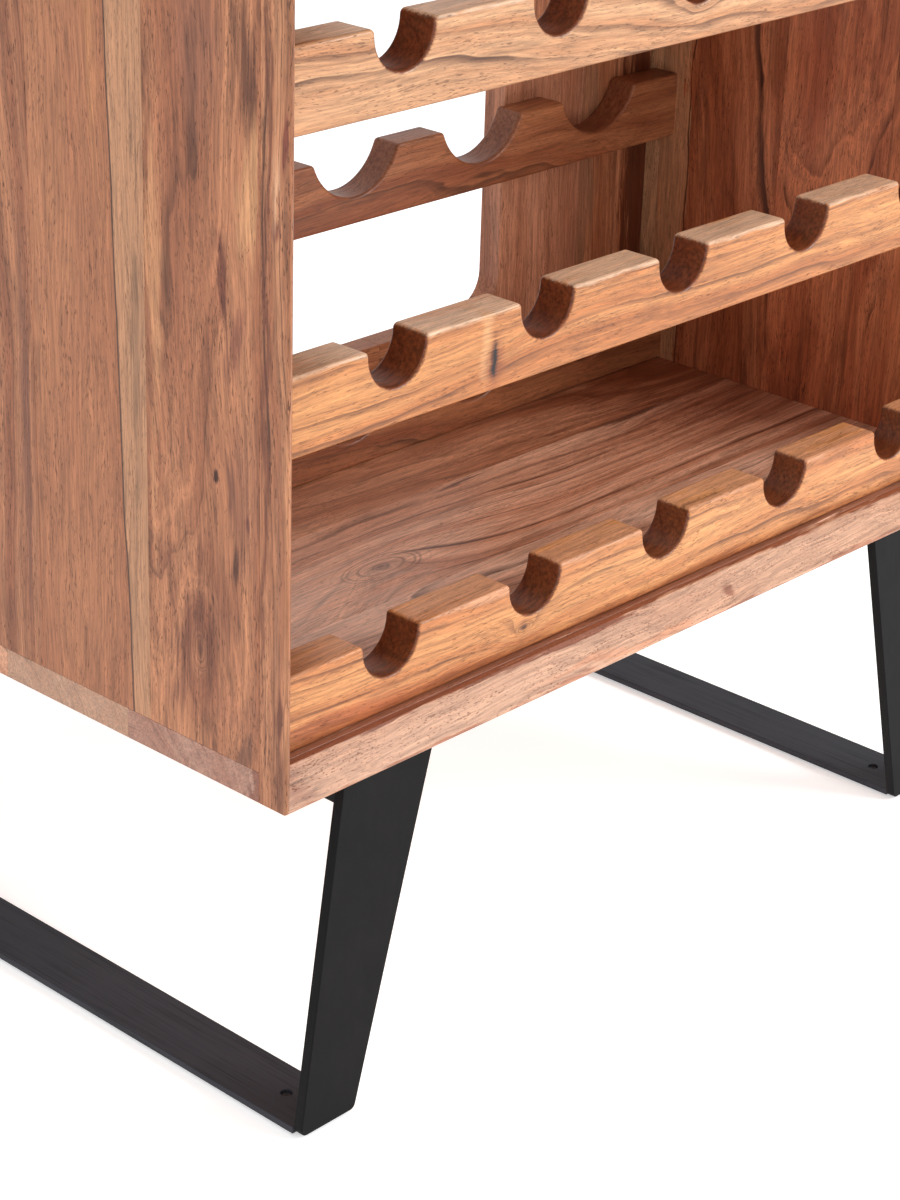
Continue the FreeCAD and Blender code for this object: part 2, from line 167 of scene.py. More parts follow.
def piece(name, mesh_data, material, slot, *nodes):
    """A shown piece of the rack: it rides on the rack and stands for its CAD nodes."""
    points, faces = mesh_data
    mesh = bpy.data.meshes.new(name)
    mesh.from_pydata(points.tolist(), [], faces)
    mesh.polygons.foreach_set("use_smooth", [len(face) == 4 for face in faces])
    mesh.materials.append(material)
    mesh.update()
    made = bpy.data.objects.new(name, mesh)
    bpy.context.scene.collection.objects.link(made)
    shading = made.modifiers.new("flat faces stay flat", "WEIGHTED_NORMAL")
    shading.mode = "FACE_AREA_WITH_ANGLE"
    shading.weight = 90
    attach(made, "root")
    if nodes:
        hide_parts(*nodes)


# ---------------------------------------------------------------- node trees

class Tree:
    """Short ways to add nodes.  An input may be a socket or a plain value."""

    def __init__(self, tree):
        self.tree = tree

    def add(self, kind, inputs=(), **settings):
        node = self.tree.nodes.new(kind)
        for key, value in settings.items():
            setattr(node, key, value)
        for key, value in (inputs.items() if isinstance(inputs, dict) else enumerate(inputs)):
            if value is None:
                continue
            if isinstance(value, bpy.types.NodeSocket):
                self.tree.links.new(value, node.inputs[key])
            else:
                node.inputs[key].default_value = value
        return node

    def where(self):
        """The object's own coordinates."""
        return self.add("ShaderNodeTexCoord").outputs["Object"]

    def maths(self, operation, *values, clamp=False):
        return self.add("ShaderNodeMath", values, operation=operation, use_clamp=clamp).outputs[0]

    def times(self, first, second, clamp=False):
        return self.maths("MULTIPLY", first, second, clamp=clamp)

    def plus(self, first, second):
        return self.maths("ADD", first, second)

    def minus(self, first, second):
        return self.maths("SUBTRACT", first, second)

    def over(self, first, second):
        return self.maths("DIVIDE", first, second)

    def vector(self, operation, *values):
        return self.add("ShaderNodeVectorMath", values, operation=operation).outputs[0]

    def length(self, value):
        return self.add("ShaderNodeVectorMath", (value,), operation="LENGTH").outputs["Value"]

    def noise(self, place, detail=2.0, rough=0.5, colour=False):
        node = self.add("ShaderNodeTexNoise", {"Vector": place, "Scale": 1.0, "Detail": detail,
                                               "Roughness": rough})
        return node.outputs["Color" if colour else "Fac"]

    def grained(self, place, across, along, detail, rough, colour=False):
        """Noise drawn out along the grain: its blotches are so many millimetres across and long."""
        drawn = self.vector("MULTIPLY", place, (1 / across, 1 / across, 1 / along))
        return self.noise(drawn, detail, rough, colour)

    def bands(self, value, detail=2.0, rough=0.5):
        node = self.add("ShaderNodeTexNoise", {"W": value, "Scale": 1.0, "Detail": detail,
                                               "Roughness": rough}, noise_dimensions="1D")
        return node.outputs["Fac"]

    def span(self, value, low, high, out_low=0.0, out_high=1.0):
        """value from low..high to out_low..out_high, held at both ends and smooth."""
        node = self.add("ShaderNodeMapRange", {"Value": value, "From Min": low, "From Max": high,
                                               "To Min": out_low, "To Max": out_high},
                        interpolation_type="SMOOTHSTEP")
        return node.outputs["Result"]

    def mix(self, factor, first, second):
        node = self.add("ShaderNodeMix", data_type="RGBA")
        for socket, value in ((node.inputs[0], factor), (node.inputs[6], first),
                              (node.inputs[7], second)):
            if isinstance(value, bpy.types.NodeSocket):
                self.tree.links.new(value, socket)
            else:
                socket.default_value = value
        return node.outputs[2]

    def shaded(self, colour, shade):
        """colour times shade; colour is a socket or a linear colour."""
        if not isinstance(colour, bpy.types.NodeSocket):
            colour = colour[:3]
        grey = self.add("ShaderNodeCombineXYZ", (shade, shade, shade)).outputs[0]
        return self.vector("MULTIPLY", colour, grey)


def blank_material(name):
    """A material without nodes, and the Tree that fills it."""
    material = bpy.data.materials.new(name)
    material.use_nodes = True
    material.node_tree.nodes.clear()
    return material, Tree(material.node_tree)


def coat_with(t, shader, height=None, strength=0.0, distance=0.0):
    """Ends a material in its shader, with height in bump where given."""
    if height is not None:
        bump = t.add("ShaderNodeBump", {"Height": height, "Strength": strength,
                                        "Distance": distance * MM})
        t.tree.links.new(bump.outputs[0], shader.inputs["Normal"])
    t.add("ShaderNodeOutputMaterial", {"Surface": shader.outputs[0]})


def rgb(red, green, blue):
    """Linear colour with alpha, from display values between 0 and 255."""
    shown = np.array([red, green, blue]) / 255
    linear = np.where(shown <= 0.04045, shown / 12.92, ((shown + 0.055) / 1.055) ** 2.4)
    return (*linear.tolist(), 1.0)


# ---------------------------------------------------------------- wood

FIGURE_INPUTS = (
    ("Vector", "NodeSocketVector", None),       # millimetres from the pith; z along the grain
    ("Light", "NodeSocketColor", rgb(200, 150, 112)),
    ("Middle", "NodeSocketColor", rgb(178, 122, 88)),
    ("Dark", "NodeSocketColor", rgb(88, 52, 38)),
    ("Warp", "NodeSocketFloat", 14.0),          # how far the rings wander, in millimetres
    ("Lines", "NodeSocketFloat", 0.5),          # strength of the dark growth lines
    ("Spacing", "NodeSocketFloat", 7.0),        # millimetres from line to line
    ("Veil", "NodeSocketFloat", 0.25),          # strength of the smoky patches
    ("Pores", "NodeSocketFloat", 0.5),
    ("Pore Length", "NodeSocketFloat", 5.0),
    ("Knot", "NodeSocketVector", None),
    ("Knot Size", "NodeSocketFloat", 0.0),
)


PORE_WIDTH = 0.55


def figure_group():
    """Solid hardwood figure.  Distance from a wandering pith gives the growth rings, fibres and
    pores are noise drawn out along the grain, and a knot swells the rings around it."""
    group = bpy.data.node_groups.new("hardwood_figure", "ShaderNodeTree")
    face = group.interface
    for name, kind, value in FIGURE_INPUTS:
        socket = face.new_socket(name, in_out="INPUT", socket_type=kind)
        if value is not None:
            socket.default_value = value
    for name, kind in (("Color", "NodeSocketColor"), ("Height", "NodeSocketFloat"),
                       ("Rough", "NodeSocketFloat"), ("Grain", "NodeSocketFloat"),
                       ("Shade", "NodeSocketFloat")):
        face.new_socket(name, in_out="OUTPUT", socket_type=kind)
    t = Tree(group)
    given = group.nodes.new("NodeGroupInput").outputs
    place = given["Vector"]

    sway = t.grained(place, 70, 300, 1.5, 0.45, True)
    sway = t.vector("SUBTRACT", sway, (0.5, 0.5, 0.5))
    sway = t.vector("MULTIPLY", sway, (1, 1, 0))
    sway = t.add("ShaderNodeVectorMath", {0: sway, "Scale": t.times(given["Warp"], 2.0)},
                 operation="SCALE").outputs[0]
    ripple = t.grained(place, 16, 60, 2.0, 0.5, True)
    ripple = t.vector("SUBTRACT", ripple, (0.5, 0.5, 0.5))
    ripple = t.vector("MULTIPLY", ripple, (5.0, 5.0, 0))
    bent = t.vector("ADD", t.vector("ADD", place, sway), ripple)
    radius = t.length(t.vector("MULTIPLY", bent, (1, 1, 0)))

    to_knot = t.vector("SUBTRACT", t.vector("ADD", place, ripple), given["Knot"])
    to_knot = t.vector("MULTIPLY", to_knot, (1, 1, 0.45))
    size = t.maths("MAXIMUM", given["Knot Size"], 0.01)
    apart = t.over(t.length(to_knot), size)
    swell = t.maths("EXPONENT", t.times(apart, -0.55))
    swell = t.times(swell, t.times(given["Knot Size"], 3.2))
    radius = t.plus(radius, swell)

    fine = t.bands(t.over(radius, 1.1), 2.0, 0.6)
    broad = t.bands(t.over(radius, 13.0), 3.0, 0.6)
    uneven = t.bands(t.over(radius, t.times(given["Spacing"], 2.5)), 1.0, 0.5)
    phase = t.plus(t.over(radius, given["Spacing"]), t.times(uneven, 3.0))
    number = t.maths("FLOOR", phase)
    through = t.minus(phase, number)
    own = t.add("ShaderNodeTexWhiteNoise", {"W": number}, noise_dimensions="1D").outputs["Value"]
    late = t.times(t.span(through, 0.55, 0.93), t.span(through, 0.95, 1.0, 1.0, 0.0))
    line = t.times(t.times(late, late), t.span(own, 0.15, 0.9, 0.1, 1.0))
    line_power = t.grained(place, 20, 120, 3.0, 0.6)
    line = t.times(line, t.span(line_power, 0.34, 0.62, 0.12, 1.0))
    line = t.times(line, given["Lines"], clamp=True)

    tone = t.grained(bent, 22, 330, 3.0, 0.55)
    light = t.span(t.plus(t.times(broad, 0.55), t.times(tone, 0.45)), 0.38, 0.62)
    colour = t.mix(light, given["Middle"], given["Light"])

    smoke = t.grained(bent, 9, 110, 5.0, 0.7)
    smoke = t.times(t.span(smoke, 0.5, 0.72), given["Veil"], clamp=True)
    colour = t.mix(smoke, colour, given["Dark"])
    colour = t.mix(line, colour, given["Dark"])

    fibre = t.grained(bent, 1.1, 34, 5.0, 0.72)
    shade = t.plus(t.times(t.minus(fibre, 0.5), 2.0), t.times(t.minus(fine, 0.5), 0.42))
    streak = t.grained(bent, 3, 70, 5.0, 0.7)
    shade = t.plus(shade, t.maths("MULTIPLY_ADD", t.minus(streak, 0.5), 0.9, 1.0))
    colour = t.shaded(colour, shade)

    across = 1 / PORE_WIDTH
    along = t.over(1.0, given["Pore Length"])
    drawn_out = t.add("ShaderNodeCombineXYZ", (across, across, along)).outputs[0]
    pore = t.noise(t.vector("MULTIPLY", bent, drawn_out), 2.0, 0.55)
    crowd = t.grained(bent, 7, 60, 3.0, 0.6)
    gate = t.span(crowd, 0.3, 0.7, 0.66, 0.55)
    pore = t.span(t.minus(pore, gate), 0.0, 0.07)
    pored = t.times(pore, given["Pores"], clamp=True)
    deep = t.mix(0.25, given["Dark"], (0.03, 0.012, 0.008, 1))
    colour = t.mix(t.times(pored, 0.88), colour, deep)

    knotty = t.span(given["Knot Size"], 0.0, 0.5)
    heart = t.maths("EXPONENT", t.times(t.maths("POWER", apart, 2.0), -9.0))
    colour = t.mix(t.times(t.times(heart, knotty), 0.5), colour, given["Dark"])
    circles = t.span(t.bands(t.times(apart, 9.0), 1.0, 0.5), 0.5, 0.62)
    nearby = t.times(t.span(apart, 0.5, 1.4, 0.55, 0.0), knotty)
    colour = t.mix(t.times(circles, nearby), colour, given["Dark"])

    height = t.minus(t.times(fibre, 0.35), t.times(pored, 0.9))
    rough = t.plus(t.span(fibre, 0.3, 0.7, 0.30, 0.40), t.times(pored, 0.3))
    group_out = group.nodes.new("NodeGroupOutput")
    grain = t.plus(t.times(streak, 0.6), t.times(broad, 0.4))
    shade = t.times(shade, t.maths("MULTIPLY_ADD", pored, -0.55, 1.0))
    for name, value in (("Color", colour), ("Height", height), ("Rough", rough), ("Grain", grain),
                        ("Shade", shade)):
        group.links.new(value, group_out.inputs[name])
    return group


PATCH_INPUTS = (
    ("Color", "NodeSocketColor"), ("Place", "NodeSocketVector"), ("Grain", "NodeSocketFloat"),
    ("Shade", "NodeSocketFloat"),
    ("Centre", "NodeSocketVector"), ("Turn", "NodeSocketVector"), ("Reach", "NodeSocketVector"),
    ("Tint", "NodeSocketColor"), ("Strength", "NodeSocketFloat"), ("Crisp", "NodeSocketFloat"),
)


def patch_group():
    """One streak, stain, pale flame, or patch of painted light or shade in a board: the place in
    case millimetres is moved to the patch's centre, turned and divided by its reach, and the patch
    fades where the length of that passes one.  The grain breaks it up, and crisp 1 gives it a hard
    edge."""
    group = bpy.data.node_groups.new("patch", "ShaderNodeTree")
    for name, kind in PATCH_INPUTS:
        group.interface.new_socket(name, in_out="INPUT", socket_type=kind)
    group.interface.new_socket("Color", in_out="OUTPUT", socket_type="NodeSocketColor")
    t = Tree(group)
    given = group.nodes.new("NodeGroupInput").outputs
    local = t.add("ShaderNodeMapping", {"Vector": given["Place"], "Location": given["Centre"],
                                        "Rotation": given["Turn"], "Scale": given["Reach"]},
                  vector_type="TEXTURE").outputs[0]
    apart = t.length(local)
    apart = t.plus(apart, t.times(t.minus(given["Grain"], 0.5), 3.2))
    inner = t.times(given["Crisp"], 0.85)
    node = t.add("ShaderNodeMapRange", {"Value": apart, "From Min": inner, "From Max": 1.0,
                                        "To Min": 1.0, "To Max": 0.0},
                 interpolation_type="SMOOTHSTEP")
    mask = t.times(node.outputs["Result"], given["Strength"], clamp=True)
    group_out = group.nodes.new("NodeGroupOutput")
    tint = t.shaded(given["Tint"], given["Shade"])
    group.links.new(t.mix(mask, given["Color"], tint), group_out.inputs["Color"])
    return group


FIGURE = figure_group()
PATCH = patch_group()
GRAIN_TURN = {"x": (0, -90, 0), "y": (90, 0, 0), "z": (0, 0, 0)}


def hardwood(name, grain, centre, pith, lean=(0, 0), slide=0.0, knot=None, knot_size=0.0,
             sap=None, notches=None, patches=(), wobble=14.0, gloss=0.4, **looks):
    """Material of one board.  pith is where the log's heart lies from the board's centre, across
    the grain in millimetres, lean tips the log by degrees, which draws cathedral arches, and
    slide moves the board along the log.  sap is a pale band: see sapwood()."""
    material, t = blank_material(name)
    turn = Euler([math.radians(a) for a in GRAIN_TURN[grain]]).to_matrix()
    tip = Euler((math.radians(lean[0]), math.radians(lean[1]), 0)).to_matrix()
    whole = tip @ turn
    shift = Vector((-pith[0], -pith[1], slide)) - whole @ (Vector(centre) / MM)
    mapped = t.add("ShaderNodeMapping", {
        "Vector": t.where(), "Location": shift, "Rotation": whole.to_euler(),
        "Scale": (1 / MM,) * 3}).outputs[0]
    figure = t.add("ShaderNodeGroup", node_tree=FIGURE)
    t.tree.links.new(mapped, figure.inputs["Vector"])
    for key, value in looks.items():
        figure.inputs[key.replace("_", " ").title()].default_value = value
    if knot is not None:
        at = Vector(knot) - Vector(CASE_CORNER)
        figure.inputs["Knot"].default_value = whole @ at + shift
        figure.inputs["Knot Size"].default_value = knot_size
    colour = figure.outputs["Color"]
    marks = (figure.outputs["Grain"], figure.outputs["Shade"])
    if sap is not None:
        colour = sapwood(t, colour, case_place(t), marks, **sap)
    if patches:
        place = wobbled(t, case_place(t), grain, wobble)
        for spot in patches:
            colour = patched(t, colour, place, marks, *spot)
    if notches is not None:
        colour = notch_stain_and_shade(t, colour, mapped, *notches)
    shader = t.add("ShaderNodeBsdfPrincipled", {
        "Base Color": colour, "Roughness": figure.outputs["Rough"], "Specular IOR Level": gloss})
    coat_with(t, shader, figure.outputs["Height"], 0.3, 0.35)
    return material


def notch_stain_and_shade(t, colour, mapped, first, pitch, height, radius, strength, dark, pale):
    """Dark walnut brown inside the notches, partly the wood's own end grain and stain and partly
    painted shade in the hollow: the distance from the nearest notch axis, which repeats with
    the pitch, tells the inside of a notch from the rail's other faces."""
    place = t.add("ShaderNodeSeparateXYZ", (t.where(),))
    across = t.minus(place.outputs["X"], first - 0.5 * pitch)
    across = t.maths("FLOORED_MODULO", across, pitch)
    across = t.minus(across, 0.5 * pitch)
    up = t.minus(place.outputs["Z"], height)
    apart = t.maths("SQRT", t.plus(t.times(across, across), t.times(up, up)))
    ragged = t.noise(t.vector("MULTIPLY", mapped, (0.9, 0.9, 0.35)), 3.0, 0.7)
    apart = t.minus(t.over(t.minus(apart, radius), MM), t.times(ragged, 2.4))
    # mask of the notch insides: partly their own stain, partly painted shade
    stained_and_shaded = t.span(apart, -0.9, 0.5, 1.0, 0.0)
    streaky = t.noise(t.vector("MULTIPLY", mapped, (0.55, 0.55, 0.05)), 3.0, 0.65)
    brown = t.mix(t.span(streaky, 0.3, 0.7), dark, pale)
    return t.mix(t.times(stained_and_shaded, strength), colour, brown)


CASE_CORNER = (300.0, 180.0, -200.0)    # row frame's origin from the case's lower left front


def case_place(t):
    """Object coordinates as millimetres from the case's lower left front corner."""
    return t.add("ShaderNodeMapping", {"Vector": t.where(), "Location": CASE_CORNER,
                                       "Scale": (1 / MM,) * 3}).outputs[0]


STRETCH = {"x": (1 / 60, 1 / 12, 1 / 12), "z": (1 / 12, 1 / 12, 1 / 60)}


def wobbled(t, place, grain, wobble):
    """The same place moved by up to half the wobble, by noise drawn out along the grain."""
    sway = t.noise(t.vector("MULTIPLY", place, STRETCH[grain]), 3.0, 0.6, True)
    sway = t.vector("MULTIPLY", t.vector("SUBTRACT", sway, (0.5, 0.5, 0.5)), (wobble,) * 3)
    return t.vector("ADD", place, sway)


def patched(t, colour, place, marks, centre, reach, tint, strength, turn=(0, 0, 0), crisp=0.3):
    grain, shade = marks
    return t.add("ShaderNodeGroup", {
        "Color": colour, "Place": place, "Grain": grain, "Shade": shade, "Centre": centre,
        "Reach": reach, "Turn": [math.radians(a) for a in turn], "Tint": tint,
        "Strength": strength, "Crisp": crisp}, node_tree=PATCH).outputs[0]


SAP_LINE = 0.9          # millimetres to each side of the sapwood's edge


def sapwood(t, colour, place, marks, normal, offset, tint):
    """Pale sapwood where normal . place passes offset, with a dark line along its edge."""
    grain, shade = marks
    tint = t.shaded(tint, shade)
    along = t.add("ShaderNodeVectorMath", (place, normal), operation="DOT_PRODUCT")
    wander = t.noise(t.vector("MULTIPLY", place, (0.03, 0.03, 0.012)), 3.0, 0.5)
    depth = t.plus(t.minus(along.outputs["Value"], offset), t.times(t.minus(wander, 0.5), 4.0))
    streaky = t.span(grain, 0.3, 0.7, 0.9, 0.55)
    colour = t.mix(t.times(t.span(depth, -0.5, 1.0), streaky), colour, tint)
    seam = t.span(t.maths("ABSOLUTE", depth), SAP_LINE * 0.3, SAP_LINE, 0.8, 0.0)
    return t.mix(seam, colour, rgb(52, 38, 34))


# ---------------------------------------------------------------- steel and plastic

def black_steel(name, streaks, streak_strength, dark, pale):
    """Black powder coat: a fine orange peel, and rolled streaks along the bar."""
    material, t = blank_material(name)
    place = t.where()
    peel = t.noise(t.vector("SCALE", place, None, None, 1 / (0.9 * MM)), 2.0, 0.5)
    drawn = t.noise(t.vector("MULTIPLY", place, streaks), 4.0, 0.6)
    cloud = t.noise(t.vector("SCALE", place, None, None, 1 / (35 * MM)), 3.0, 0.5)
    tone = t.plus(t.times(drawn, streak_strength), t.times(cloud, 0.25))
    colour = t.mix(t.span(tone, 0.1, 0.6), dark, pale)
    rough = t.span(tone, 0.15, 0.6, 0.62, 0.46)
    shader = t.add("ShaderNodeBsdfPrincipled", {"Base Color": colour, "Roughness": rough,
                                                "Specular IOR Level": 0.16})
    height = t.plus(t.times(peel, 0.4), t.times(drawn, streak_strength))
    coat_with(t, shader, height, 0.25, 0.12)
    return material


def plain_metal(name, colour, rough, metallic):
    """Zinc plate or moulded plastic: a cloudy tone and a fine grain in the gloss."""
    material, t = blank_material(name)
    place = t.where()
    cloud = t.noise(t.vector("SCALE", place, None, None, 1 / (3 * MM)), 3.0, 0.6)
    tint = t.mix(cloud, tuple(0.8 * c for c in colour[:3]) + (1,), colour)
    shader = t.add("ShaderNodeBsdfPrincipled", {
        "Base Color": tint, "Roughness": t.span(cloud, 0.2, 0.8, rough - 0.08, rough + 0.08),
        "Metallic": metallic})
    coat_with(t, shader)
    return material


# ---------------------------------------------------------------- boards

SEAM = 0.32 * MM
END_EASE = 0.28 * MM
EASED = 1.2 * MM


def board(node, along, slot, wood, radii):
    """A straight board: a rectangle with its four edges rounded, carried along the grain.
    The radii go round from the lowest corner, counterclockwise, and none is under END_EASE,
    so the end's outline keeps its shape as it draws in."""
    low, high = np.array(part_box(node))
    first, second, axis = AXES[along]
    corners = [(low[first], low[second]), (high[first], low[second]),
               (high[first], high[second]), (low[first], high[second])]
    data = slab_mesh(rounded_outline(corners, radii), along, low[axis], high[axis], END_EASE, 2)
    piece(node + "_wood", data, wood(0.5 * (low + high)), slot, node)


def case_sides_and_decks():
    for side in ("left", "right"):
        for number in BOARDS:
            node = f"{side}_side_board_{number}"
            last = EASED if number == BOARDS[-1] else SEAM
            board(node, "z", "side_wood", WOODS[node], (SEAM, SEAM, last, last))
    for level in ("bottom", "top"):
        for number in BOARDS:
            node = f"{level}_board_{number}"
            last = EASED if number == BOARDS[-1] else SEAM
            board(node, "x", "deck_wood", WOODS[node], (SEAM, last, last, SEAM))


EDGING_NOSE = 2 * MM
MITRE_EASE = ((0.16 * MM, 0.0), (0.05 * MM, 0.05 * MM), (0.0, 0.16 * MM))


def edging_mesh(low, high, along, inner_side):
    """A mitred strip.  Its profile stands on the outer face: u runs inward, y backward, with a
    bevel from the nose down to the inner face.  Each profile point keeps its distance u from
    both ends of the strip, which cuts the mitres."""
    thick = min(high[0] - low[0], high[2] - low[2])
    deep = high[1] - low[1]
    bevel = thick - EDGING_NOSE
    corners = [(0, 0), (EDGING_NOSE, 0), (thick, bevel), (thick, deep), (0, deep)]
    profile = rounded_outline(corners, (1.1 * MM, 1.4 * MM, 1.0 * MM, SEAM, SEAM))
    inset = inward(profile)
    rings = []
    for end, sign in ((low[along], 1), (high[along], -1)):
        for gap, step in MITRE_EASE:
            shape = profile + inset * gap
            ring = np.zeros((len(profile), 3))
            across = 2 - along
            outer, turn = (low[across], 1) if inner_side > 0 else (high[across], -1)
            ring[:, across] = outer + turn * shape[:, 0]
            ring[:, 1] = low[1] + shape[:, 1]
            ring[:, along] = end + sign * (profile[:, 0] + step)
            rings.append(ring)
    rings = np.array(rings[:3] + rings[:2:-1])
    return loft(rings, (along == 0) == (inner_side > 0))


def front_edging():
    for node, along, inner_side in (("left_edging", 2, 1), ("right_edging", 2, -1),
                                    ("bottom_edging", 0, 1), ("top_edging", 0, -1)):
        low, high = np.array(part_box(node))
        piece(node + "_wood", edging_mesh(low, high, along, inner_side),
              WOODS[node](0.5 * (low + high)), "edging_wood", node)


WINDOW_CORNER = 20 * MM
BACK_EDGE = 0.4 * MM


def back_panel():
    """Ten upright and level boards round a window with rounded corners."""
    for side, sign in (("left", 1), ("right", -1)):
        node = f"back_board_{side}_outer"
        board(node, "z", "back_wood", WOODS[node], (SEAM, SEAM, BACK_EDGE, BACK_EDGE))
        node = f"back_board_{side}_inner"
        low, high = np.array(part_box(node))
        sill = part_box("back_board_bottom_1")[1][2]
        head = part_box("back_board_top_1")[0][2]
        far, near = (low[0], high[0]) if sign > 0 else (high[0], low[0])
        lower = arc((near, sill + WINDOW_CORNER), WINDOW_CORNER, -90, -90 - sign * 90, 8)
        upper = arc((near, head - WINDOW_CORNER), WINDOW_CORNER, 90 + sign * 90, 90, 8)
        outline = np.concatenate([[(far, low[2]), (near, low[2])], lower, upper,
                                  [(near, high[2]), (far, high[2])]])
        if sign < 0:
            outline = outline[::-1]
        data = slab_mesh(outline, "y", low[1], high[1], BACK_EDGE, 2)
        piece(node + "_wood", data, WOODS[node](0.5 * (low + high)), "back_wood", node)
    for level in ("bottom", "top"):
        for number in range(1, 4):
            node = f"back_board_{level}_{number}"
            board(node, "x", "back_wood", WOODS[node], (BACK_EDGE,) * 4)


# ---------------------------------------------------------------- bottle rails

FIRST_NOTCH = 75 * MM           # from the inner face of the case
PITCH = 104.5 * MM
LIP = 3 * MM
# notch colours (strength, dark, pale): partly the wood's own end grain and stain, partly painted
# shade in the hollow
FRONT_NOTCH = dict(radius=18.75 * MM, centre=37.25 * MM,
                   stain_and_shade=(0.9, rgb(64, 22, 10), rgb(124, 58, 30)))
REAR_NOTCH = dict(radius=35 * MM, centre=51 * MM,
                  stain_and_shade=(0.6, rgb(104, 56, 36), rgb(160, 104, 76)))
RAIL_EASE = 1.9 * MM


def rail_outline(low, high, radius, centre):
    """Counterclockwise outline in x and z: a bar whose top edge has a circular notch at every
    bottle.  A small lip circle touches the top edge and the notch circle from outside, so its
    centre is radius + lip away from the notch's."""
    x_notch = low[0] + FIRST_NOTCH + PITCH * np.arange(COLUMNS)
    z_notch, z_lip = low[2] + centre, high[2] - LIP
    rise = z_notch - z_lip
    reach = math.sqrt((radius + LIP) ** 2 - rise ** 2)
    tilt = math.degrees(math.asin(rise / (radius + LIP)))
    parts = [[(low[0], low[2]), (high[0], low[2]), (high[0], high[2])]]
    for x in x_notch[::-1]:
        parts += [arc((x + reach, z_lip), LIP, 90, 180 - tilt, 5),
                  arc((x, z_notch), radius, -tilt, tilt - 180, 30)[1:-1],
                  arc((x - reach, z_lip), LIP, tilt, 90, 5)]
    parts.append([(low[0], high[2])])
    return np.concatenate(parts)


def bottle_rails():
    for kind, notch in (("front", FRONT_NOTCH), ("rear", REAR_NOTCH)):
        for row in range(1, ROWS + 1):
            node = f"{kind}_rail_{row}"
            low, high = np.array(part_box(node))
            outline = rail_outline(low, high, notch["radius"], notch["centre"])
            data = slab_mesh(outline, "y", low[1], high[1], RAIL_EASE, 4, True)
            marks = (low[0] + FIRST_NOTCH, PITCH, low[2] + notch["centre"], notch["radius"],
                     *notch["stain_and_shade"])
            piece(node + "_wood", data, WOODS[node](0.5 * (low + high), notches=marks),
                  "rail_wood", node)


# ---------------------------------------------------------------- legs

FOOT_ROUND = 4 * MM
PLATE_EASE = 0.7 * MM
BAR_EASE = 0.35 * MM
ROLLED_EASE = 0.2 * MM
TOP_WIDTH = 63 * MM
FOOT_WIDTH = 38 * MM
GLIDE_END = 24 * MM
HOLE = 3.25 * MM
HOLE_STEPS = 24


def plate_with_holes(low, high, centres, radius, ease):
    """A flat bar with round holes along its centre line.  Top and bottom are each split in two
    polygons along that line; every rim is a quarter circle, as in extrude_rings."""
    middle = 0.5 * (low[0] + high[0])
    outer = np.array([(middle, low[1]), (high[0], low[1]), (high[0], high[1]),
                      (middle, high[1]), (low[0], high[1]), (low[0], low[1])])
    loops = [outer] + [arc((middle, y), radius, -90, 270, HOLE_STEPS)[:-1] for y in centres]
    points, faces, starts, ends = [], [], [], []
    offset = 0
    for number, loop in enumerate(loops):
        shaped = loop if number == 0 else loop[::-1]
        flat = extrude_rings(shaped, low[2], high[2], ease, 3)
        rings = np.array([np.column_stack([shape, np.full(len(shape), z)]) for shape, z in flat])
        some, corners = loft(rings)
        points.append(some)
        faces += [[index + offset for index in face] for face in corners[:-2]]
        order = np.arange(len(loop)) if number == 0 else np.arange(len(loop))[::-1]
        starts.append(order + offset)
        ends.append(order + offset + (len(flat) - 1) * len(loop))
        offset += len(some)
    half = HOLE_STEPS // 2
    for level, flip in ((starts, True), (ends, False)):
        rim, *holes = level
        right, left = rim[:4].tolist(), rim[3:].tolist() + [rim[0]]
        for hole in holes[::-1]:
            right += hole[half::-1].tolist()
        for hole in holes:
            left += [hole[0]] + hole[:half - 1:-1].tolist()
        for face in (right, left):
            face = [int(index) for index in face]
            faces.append(face[::-1] if flip else face)
    return np.concatenate(points), faces


WELD_RIPPLE = 1.6 * MM
SLED_BEAD = 1.6 * MM
ANGLE_BEAD = 1.5 * MM


def weld_bead(path, radius):
    """A bead of weld along a straight path: a low dome whose width swells and shrinks as the
    metal was laid down, one sine wave for every ripple."""
    path = np.asarray(path, float)
    length = np.linalg.norm(path[1] - path[0])
    steps = max(int(length / (0.4 * MM)), 8)
    run = np.linspace(0, 1, steps + 1)
    swell = 1 + 0.13 * np.sin(2 * math.pi * run * length / WELD_RIPPLE)
    taper = np.sqrt(np.clip(1 - (2 * run - 1) ** 8, 0.02, 1))
    around = np.linspace(0, 2 * math.pi, 12, endpoint=False)
    direction = (path[1] - path[0]) / length
    side = np.cross(direction, (0.0, 0.0, 1.0))
    if np.linalg.norm(side) < 0.1:
        side = np.array([1.0, 0.0, 0.0])
    side /= np.linalg.norm(side)
    up = np.cross(side, direction)
    width = (radius * swell * taper)[:, None, None]
    centre = path[0] + run[:, None] * (path[1] - path[0])
    ring = np.cos(around)[:, None] * side + np.sin(around)[:, None] * up
    return loft(centre[:, None] + width * ring, True)


